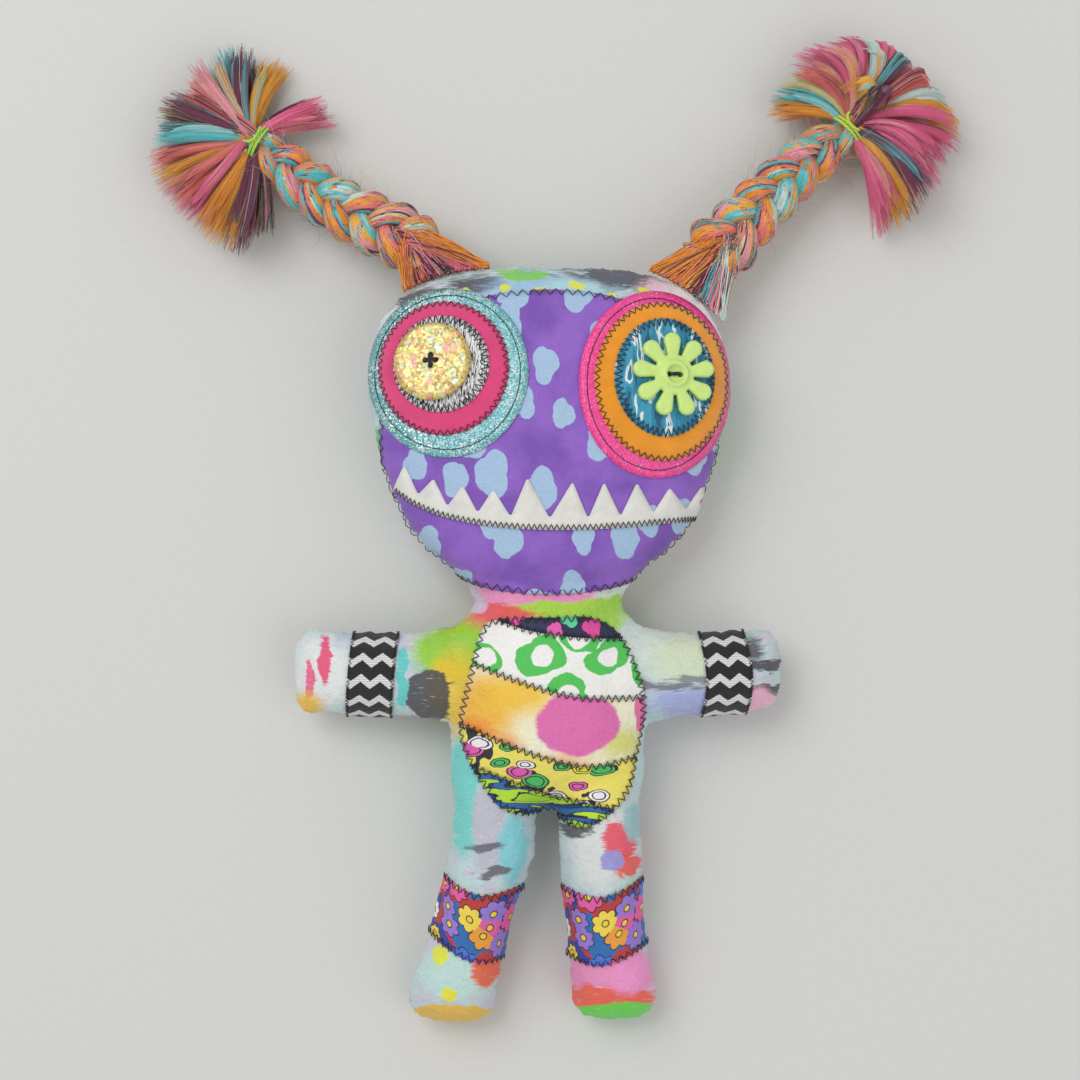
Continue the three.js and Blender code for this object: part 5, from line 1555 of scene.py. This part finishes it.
def make_teeth(context, felt):
    """The felt teeth and the close stitches along their lower edge."""
    outline = keep_on_head(tooth_outline(), 0.5)
    sew_layer("tooth_strip", "felt", outline, 1.0, 1.2, (felt, "white_felt"), "head", step=1.9)
    x = np.arange(-62.2, 63, 0.8)
    path = keep_on_head(np.column_stack([x, smooth(MOUTH_LINE, x) + 1.1]), 1.5)
    sew_along("tooth_strip", path, 2.15, context, "head", 2.3, 1.35, closed=False)


def make_eyes(context, finishes):
    """Both eyes: a glitter disc with a straight seam, a felt disc and a print disc with zigzags."""
    for side, rings in EYES.items():
        for i, (x, y, half, tall) in enumerate(rings):
            outline = keep_on_head(superellipse(x, y, half, tall, tall, 2.0, 130 - 25 * i), 0.4)
            name, lift, inset, *stitch = DISCS[i]
            node = f"{side}_eye_{name}"
            sew_layer(node, "cloth", outline, lift, 0.8, finishes[side][i], "head", step=2.2, pucker=0.12)
            path = inset_path(outline, inset)
            sew_along(node, path if i else keep_on_head(path, 2.6), lift + 0.78, context, "head", *stitch)


TUMMY_OUTLINE = [
    (-27, 38), (-18.5, 42.8), (0, 43.5), (17.6, 43.3), (29, 36.5), (36, 24), (40.3, 7), (36.5, -15),
    (33, -29), (22, -40.5), (12, -43.5), (0, -38), (-12, -38.3), (-23, -32), (-34, -13), (-36.5, 0),
    (-33.5, 15),
]
TUMMY_SEAMS = [
    [(-40, 49), (-4, 37.4), (42, 33.6)],
    [(-40, 27.5), (8.4, 11.5), (42, 10.3)],
    [(-40, 0.5), (11.8, -17.4), (42, -13.5)],
    [(-40, -14.5), (1.7, -30), (42, -38.5)],
]
STRIPS = ("collar", "upper", "middle", "lower", "bottom")


def rounded(points, count):
    """A closed smooth curve through points, as evenly spaced points."""
    p = np.array(points, float)
    t = np.linspace(0, 1, 12, endpoint=False)[:, None]
    fine = []
    for i in range(len(p)):
        a, b, c, d = p[i - 1], p[i], p[(i + 1) % len(p)], p[(i + 2) % len(p)]
        square, cube = (2 * a - 5 * b + 4 * c - d) * t * t, (3 * b - a - 3 * c + d) * t**3
        fine += [*(0.5 * (2 * b + (c - a) * t + square + cube))]
    fine = np.array(fine)
    length = np.sum(np.linalg.norm(np.roll(fine, -1, 0) - fine, axis=1))
    return resample(fine, length / count)


def clip_between(outline, low, high):
    """The part of a closed outline between two lines that run along X, walked in order."""
    p = np.array(outline, float)
    for line, sign in ((low, 1), (high, -1)):
        value = sign * (p[:, 1] - line(p[:, 0]))
        kept = []
        for i in range(len(p)):
            j = (i + 1) % len(p)
            if value[i] >= 0:
                kept.append(p[i])
            if value[i] * value[j] < 0:
                cut = p[i] + (p[j] - p[i]) * value[i] / (value[i] - value[j])
                kept.append(np.array([cut[0], line(cut[0])]))
        out = []
        for a, b in zip(kept, [*kept[1:], kept[0]]):
            out.append(a)
            if all(abs(c[1] - line(c[0])) < 1e-3 for c in (a, b)) and abs(a[0] - b[0]) > 3:
                steps = int(abs(b[0] - a[0]) / 2)
                between = (a[0] + (b[0] - a[0]) * k / steps for k in range(1, steps))
                out += [np.array([x, float(line(x))]) for x in between]
        p = np.array(out)
    return p[np.linalg.norm(np.roll(p, -1, 0) - p, axis=1) > 0.25]


def make_tummy(context, finishes):
    """The five strips of the patchwork tummy and the zigzags over their seams and edge."""
    outline = rounded(TUMMY_OUTLINE, 120)
    seams = [lambda x, row=row: smooth(row, x) for row in TUMMY_SEAMS]
    lines = [lambda x: x * 0 + 90.0, *seams, lambda x: x * 0 - 90.0]
    for name, high, low, finish in zip(STRIPS, lines, lines[1:], finishes):
        part = clip_between(outline, lambda x: low(x) + 0.1, lambda x: high(x) - 0.1)
        sew_layer(f"tummy_{name}_patch", "cloth", part, 0.4, 0.65, finish, "torso", step=2.1, pucker=0.25)
    sew_along("tummy_edge", inset_path(outline, 0.9), 1.08, context, "torso", 3.6, 1.6, girth=1.1)
    for i, line in enumerate(seams):
        x = np.arange(-40, 42, 0.8)
        seam = np.column_stack([x, line(x)])
        path = seam[inside(seam, outline)]
        sew_along(f"tummy_seam_{i + 1}", path, 1.08, context, "torso", 3.3, 1.5, closed=False, girth=1.1)


# Each band: its limb, middle line as (around, along), half width, the axis along it, how the limb droops from
# its hinge, and the limb's own middle
BANDS = {
    "left_arm_ribbon": (
        "left_arm", [(-6, -75.8), (17, -74), (40, -71.8)], 9.8, 0, -SHOULDER, ARM_DROOP, 17.4,
    ),
    "right_arm_ribbon": (
        "right_arm", [(-6, 72), (17, 75.6), (40, 71.8)], 9.8, 0, SHOULDER, ARM_DROOP, 17.6,
    ),
    "left_leg_band": (
        "left_leg", [(-50, -74), (-30, -86.2), (-8, -83)], 14.6, 1, HIP, LEFT_LEG_DROOP, -30.5,
    ),
    "right_leg_band": (
        "right_leg", [(4, -83), (22, -87.4), (44, -78)], 14.6, 1, HIP, RIGHT_LEG_DROOP, 23.6,
    ),
}


def band_point(band, share, angle):
    """The skin's point and outward way at a share of a band's width and an angle round its limb."""
    _, line, half, axis, hinge, droop, middle = band
    way = Vector((0, 0, math.sin(angle)))
    way[1 - axis] = math.cos(angle)
    centre = Vector((middle, middle, 0))
    at = middle
    for _ in range(3):
        along = float(smooth(line, at)) + share * half
        centre[axis], centre.z = along, SEAM_HEIGHT - abs(along - hinge) * math.tan(math.radians(droop))
        hit = made["skin"].ray_cast(centre, way)[0]
        at = hit[1 - axis]
    return hit, way


def make_bands(names, finish, context, *stitch):
    """A band of ribbon or cloth over the front of each limb, from side seam to side seam, sewn along its
    edges. The finish is a material and a slot's name, of which only the material is used."""
    across, around = 15, 41
    for name in names:
        band = BANDS[name]
        body, half = band[0], band[2]
        shares, angles = np.linspace(-1, 1, across), np.linspace(-0.03, math.pi + 0.03, around)
        spots = np.array([[band_point(band, u, a) for u in shares] for a in angles])
        grid = spots[:, :, 0]
        run = np.cumsum([0, *np.linalg.norm(np.diff(grid[:, across // 2], axis=0), axis=1)])
        plan = np.array([(r, u * half) for r in run for u in shares])
        index = np.arange(around * across).reshape(around, across)
        corners = (index[:-1, :-1], index[1:, :-1], index[1:, 1:], index[:-1, 1:])
        faces = list(zip(*(corner.ravel() for corner in corners)))
        rim = [*index[:, 0], *index[-1, 1:], *index[-2::-1, -1], *index[0, -2:0:-1]]
        flat, way = grid.reshape(-1, 3), spots[:, :, 1].reshape(-1, 3)
        obj = closed_layer(f"{name}_cloth", flat + way * 1.05, flat + way * 0.35, faces, rim, plan)
        obj.data.materials.append(finish[0])
        belongs(obj, name, body)
        for k, share in enumerate((-0.94, 0.94)):
            path = [band_point(band, share, a) for a in np.linspace(0.02, math.pi - 0.02, 70)]
            placed, ups = np.array([hit + way for hit, way in path]), np.array([way for _, way in path])
            sew_line(f"{name}_stitches_{k + 1}", placed, ups, context, body, *stitch)


# The stage


def make_stage(floor_tone):
    """A pale floor, soft light from above, and the camera that looks straight down."""
    bpy.ops.mesh.primitive_plane_add(size=6, location=(0, 0, -0.0004))
    floor = bpy.context.object
    floor.name = "floor"
    material, tree, shader = new_material("pale_matt_paper", Roughness=0.9)
    place = add(tree, "ShaderNodeTexCoord", out="Object")
    grain = add(tree, NOISE, {"Vector": place, "Scale": 400.0}, "Fac")
    tint(tree, shader, tuple(floor_tone), grain, (0, 1), (0.97, 1.03))
    floor.data.materials.append(material)
    for name, place, size, power in (
        ("key", (-0.9, 0.9, 1.7), 1.3, 17.0), ("fill", (1.2, -0.6, 1.5), 1.6, 6.5),
    ):
        lamp = bpy.data.lights.new(name, "AREA")
        lamp.size, lamp.energy = size, power
        holder = linked(name, lamp)
        holder.location = place
        holder.rotation_euler = (Vector((0, 0.07, 0)) - Vector(place)).to_track_quat("-Z", "Y").to_euler()
    scene = bpy.context.scene
    scene.world = bpy.data.worlds.new("room")
    scene.world.use_nodes = True
    light = scene.world.node_tree.nodes["Background"].inputs
    light["Color"].default_value, light["Strength"].default_value = (1, 1, 1, 1), 0.55
    lens = bpy.data.cameras.new("camera")
    lens.lens, lens.sensor_width = 90.0, 36.0
    scene.camera = linked("camera", lens)
    scene.camera.location = (-0.0034, 0.0756, SEAM_HEIGHT * MM + 0.4536 * lens.lens / lens.sensor_width)
    scene.view_settings.view_transform = "Standard"


# The add-on


def length_size(label, about, default):
    """A length that a user may change."""
    return bpy.props.FloatProperty(
        name=label, description=about, default=default, min=0.0, unit="LENGTH", precision=5,
    )


def dye_of(label, about, code):
    """A colour that a user may change."""
    tone = colour(code)[:3]
    return bpy.props.FloatVectorProperty(
        name=label, description=about, default=tone, min=0, max=1, subtype="COLOR",
    )


def count_of(label, about, default, least=3):
    """A count that a user may change."""
    return bpy.props.IntProperty(name=label, description=about, default=default, min=least)


class DollSizes(bpy.types.PropertyGroup):
    """Sizes and counts of the doll's finer parts."""

    thread: length_size("Thread", "Radius of the sewing thread", 0.2 * MM)
    strand: length_size("Strand", "Radius of a plait's strand where it is full", 5.5 * MM)
    yarn: length_size("Yarn", "Radius of the neon yarn", 0.6 * MM)
    strand_fibres: count_of("Strand fibres", "Fibres laid round each strand", 54)
    tuft_fibres: count_of("Tuft fibres", "Fibres in each tuft", 1500)
    lock_fibres: count_of("Lock fibres", "Fibres in each lock of a tassel", 180, 4)
    loose_hairs: count_of("Loose hairs", "Hairs that stand off each plait", 300, 0)


class DollColours(bpy.types.PropertyGroup):
    """Plain colours of felt, thread, yarn and floor."""

    thread: dye_of("Thread", "Sewing thread", "#17161b")
    white_felt: dye_of("White felt", "The teeth", "#f1efe8")
    pink_felt: dye_of("Pink felt", "The left eye's disc", "#ee4283")
    orange_felt: dye_of("Orange felt", "The right eye's disc", "#ffa10a")
    left_yarn: dye_of("Left yarn", "The tie of the left plait", "#b0ee3e")
    right_yarn: dye_of("Right yarn", "The tie of the right plait", "#cdec3e")
    flower: dye_of("Flower button", "The right button", "#d3f08c")
    floor: dye_of("Floor", "What the doll lies on", "#d9d9d6")


def once(key, maker, *inputs):
    """What an earlier operator made under a key, or else a new one."""
    if key not in made:
        made[key] = maker(*inputs)
    return made[key]


def dyed(context, name):
    """One of the colours that a user may change, for a shader."""
    return (*getattr(context.scene.doll_colours, name), 1.0)


def wool():
    """The roving's finish and the tree that makes fibres."""
    return once("fibres", fibre_tree), once("roving", roving_finish, "dyed_wool_roving")


def sewing(context):
    """The thread's finish, the tree that sews, and the thread's radius in millimetres."""
    finish = once("thread", thread_finish, "black_thread", dyed(context, "thread"))
    return finish, once("stitches", stitch_tree), context.scene.doll_sizes.thread / MM


class DOLL_OT_skin(bpy.types.Operator):
    """Sew the body from two panels of printed cotton and fill it"""

    bl_idname = "doll.make_skin"
    bl_label = "Skin"

    def execute(self, context):
        dress_skin()
        return {"FINISHED"}


class DOLL_OT_face(bpy.types.Operator):
    """Lay the face panel, the felt teeth and the eyes' discs on the head"""

    bl_idname = "doll.make_face"
    bl_label = "Face"

    def execute(self, context):
        blobs = [(0.35, "#7d51b6"), (0.6, "#9565cb")]
        scribble = [(0, "#e9e9ea"), (0.42, "#26252b"), (0.47, "#efefef"), (0.54, "#303036"), (0.6, "#e6e6e8")]
        sea = [(0.2, "#1d5f80"), (0.42, "#2b86a8"), (0.52, "#3f9fbe"), (0.6, "#e4eef2"), (0.66, "#2f7fa6")]
        panel = motif_cotton(
            "resist_dyed_cotton", 18.0, blobs, ["#a9c6e4"], 3, 0.37, 0.22, 0.5, 0.72, 1.6,
            ink=None, shift=(5.0, 2.0),
        )
        make_face_panel(context, panel)
        make_teeth(context, felt_finish("white_felt", dyed(context, "white_felt")))
        ink = brushed_cotton("ink_scribble_cotton", scribble, 0.6, (2.6, 0.35), 0.28)
        teal = glitter_finish("teal_glitter_cloth", "#69b7be", "#cdeeec")
        pink = glitter_finish("pink_glitter_cloth", "#fc469c", "#ff8cc4", 0.1, 0.24)
        felts = {k: (felt_finish(k, dyed(context, k)), k) for k in ("pink_felt", "orange_felt")}
        waves = brushed_cotton("sea_brushed_cotton", sea, 0.9, (1.8, 0.4), 0.15)
        make_eyes(context, {
            "left": [(teal, "teal_glitter_fabric"), felts["pink_felt"], (ink, "grey_print_cotton")],
            "right": [(pink, "pink_glitter_fabric"), felts["orange_felt"], (waves, "blue_print_cotton")],
        })
        return {"FINISHED"}


class DOLL_OT_buttons(bpy.types.Operator):
    """Sew a glitter button to the left eye and a flower button to the right eye"""

    bl_idname = "doll.make_buttons"
    bl_label = "Buttons"

    def execute(self, context):
        yarn, _, thread = sewing(context)
        around = np.linspace(0, 2 * math.pi, 96, endpoint=False)
        disc = DISC_RADIUS * np.column_stack([np.cos(around), np.sin(around)])
        plastic = moulded_plastic("moulded_plastic", dyed(context, "flower"))
        fibres = once("fibres", fibre_tree)
        for button in (
            ("left", (-46.7, 148.3), 3.6, disc, disc_height, glitter_resin(), "gold_glitter_button"),
            ("right", (50.2, 142.8), 3.6, flower_outline(), flower_height, plastic, "lime_button"),
        ):
            run_tree(make_button(*button), fibres, yarn, thickness=1.7 * thread, taper=0.0, sides=8)
        return {"FINISHED"}


class DOLL_OT_tummy(bpy.types.Operator):
    """Lay the five patchwork strips on the tummy and sew over their seams"""

    bl_idname = "doll.make_tummy"
    bl_label = "Tummy"

    def execute(self, context):
        night = motif_cotton(
            "night_petal_cotton", 10.0, [(0.4, "#252b4c"), (0.6, "#2c3560")],
            ["#e84fa0", "#5fd0a0", "#e3e23a", "#ea5fb0"], 3, 0.46, 0.3, shift=(4.0, 3.0), line=0.015,
        )
        green = motif_cotton(
            "green_loop_cotton", 20.0, [(0.4, "#f8f7f3"), (0.6, "#f4f4ee")], ["#54c95a"],
            2, 0.5, 0.3, 0.5, 1.15, 2.2, ink=None, eye="#f7f6f2", eye_size=0.46, shift=(2.0, 6.0),
        )
        sunset = washed_cotton(
            "sunset_washed_cotton", [(0.3, "#f7f0b4"), (0.7, "#f6f3e2")], SUNSET, 2.5, None,
        )
        leaf = motif_cotton(
            "leaf_outline_cotton", 13.0, [(0.0, "#2b2d33"), (0.4, "#f0e268"), (0.62, "#2b2d33")],
            ["#4fc062", "#f3ecf0", "#e35fb4", "#4fc062", "#e8e03c"], 1, 0.42, 0.12, 0.7, 1.9, 1.6,
            ring=0.13, line=0.024, shift=(2.0, 5.0),
        )
        waves = [
            (0, "#a6d92f"), (0.37, "#1f2c2a"), (0.385, "#b6df34"), (0.46, "#1d3c6e"), (0.49, "#2f66ae"),
            (0.55, "#20282c"), (0.565, "#c2e436"), (0.64, "#263030"), (0.655, "#9ccf2c"),
        ]
        lime = brushed_cotton("lime_brushed_cotton", waves, -0.25, (0.22, 1.3), 0.11)
        kinds = ("navy", "green", "sunset", "leaf", "lime")
        make_tummy(
            context, [(c, f"{k}_print_cotton") for c, k in zip((night, green, sunset, leaf, lime), kinds)]
        )
        return {"FINISHED"}


class DOLL_OT_bands(bpy.types.Operator):
    """Sew the chevron ribbons to the arms and the flowered bands to the legs"""

    bl_idname = "doll.make_bands"
    bl_label = "Ribbons and leg bands"

    def execute(self, context):
        ribbon = (chevron_ribbon("woven_chevron_ribbon"), "chevron_ribbon")
        make_bands(("left_arm_ribbon", "right_arm_ribbon"), ribbon, context, 1.7, 0.7, 0.25, 0.75)
        flowers = motif_cotton(
            "flower_outline_cotton", 10.5, [(0.0, "#31419e"), (0.47, "#bf3a3c"), (0.56, "#2d6fb4")],
            ["#f0a13c", "#4f74dc", "#ea5a4e", "#f4d850", "#9a7ad6", "#efeef2", "#e85fa6"],
            7, 0.56, 0.26, 0.3, 1.0, 0.5, line=0.022, eye="#f6d43c", shift=(3.0, 1.0),
        )
        bands = ("left_leg_band", "right_leg_band")
        make_bands(bands, (flowers, "flower_print_cotton"), context, 3.4, 1.6, 0.3, 1.05)
        return {"FINISHED"}


class DOLL_OT_plaits(bpy.types.Operator):
    """Plait three strands of dyed roving on each side, with loose hairs"""

    bl_idname = "doll.make_plaits"
    bl_label = "Plaits"

    def execute(self, context):
        sizes = context.scene.doll_sizes
        for side in PLAITS:
            make_plait(side, once("plait", plait_tree), wool()[1], sizes.strand / MM, sizes.strand_fibres)
            make_loose_hairs(side, *wool(), sizes.loose_hairs)
        return {"FINISHED"}


class DOLL_OT_tufts(bpy.types.Operator):
    """Gather the roots of the plaits along the crown's seam"""

    bl_idname = "doll.make_tufts"
    bl_label = "Tufts"

    def execute(self, context):
        for side in PLAITS:
            make_tuft(side, *wool(), context.scene.doll_sizes.tuft_fibres)
        return {"FINISHED"}


class DOLL_OT_tassels(bpy.types.Operator):
    """Tie each plait with neon yarn and fan out its loose end"""

    bl_idname = "doll.make_tassels"
    bl_label = "Ties and tassels"

    def execute(self, context):
        for side in PLAITS:
            make_tassel(side, *wool(), context.scene.doll_sizes.lock_fibres)
            finish = neon_painted_glow_finish(f"{side}_neon_yarn", dyed(context, f"{side}_yarn"))
            make_tie(side, wool()[0], finish, context.scene.doll_sizes.yarn / MM)
        return {"FINISHED"}


class DOLL_OT_stage(bpy.types.Operator):
    """Set the pale floor, the soft lights and the camera"""

    bl_idname = "doll.make_stage"
    bl_label = "Stage"

    def execute(self, context):
        make_stage(context.scene.doll_colours.floor)
        return {"FINISHED"}


OPERATORS = (
    DOLL_OT_skin, DOLL_OT_face, DOLL_OT_buttons, DOLL_OT_tummy, DOLL_OT_bands, DOLL_OT_plaits, DOLL_OT_tufts,
    DOLL_OT_tassels, DOLL_OT_stage,
)


class DOLL_PT_panel(bpy.types.Panel):
    """The doll's settings and its pieces, in the order in which they are made"""

    bl_label = "Stuffed doll"
    bl_space_type = "VIEW_3D"
    bl_region_type = "UI"
    bl_category = "Doll"

    def draw(self, context):
        for group in (context.scene.doll_sizes, context.scene.doll_colours):
            for key in group.bl_rna.properties.keys():
                if key not in ("rna_type", "name"):
                    self.layout.prop(group, key)
        for operator in OPERATORS:
            self.layout.operator(operator.bl_idname)


CLASSES = (DollSizes, DollColours, *OPERATORS, DOLL_PT_panel)


def register():
    """Adds the classes and the scene's settings."""
    for kind in CLASSES:
        bpy.utils.register_class(kind)
    bpy.types.Scene.doll_sizes = bpy.props.PointerProperty(type=DollSizes)
    bpy.types.Scene.doll_colours = bpy.props.PointerProperty(type=DollColours)


def unregister():
    """Takes them away again."""
    del bpy.types.Scene.doll_colours, bpy.types.Scene.doll_sizes
    for kind in reversed(CLASSES):
        bpy.utils.unregister_class(kind)


def main():
    """Makes every piece in order."""
    register()
    doll = bpy.ops.doll
    for make in (
        doll.make_skin, doll.make_face, doll.make_buttons, doll.make_tummy, doll.make_bands, doll.make_plaits,
        doll.make_tufts, doll.make_tassels, doll.make_stage,
    ):
        make()


if __name__ == "__main__":
    main()
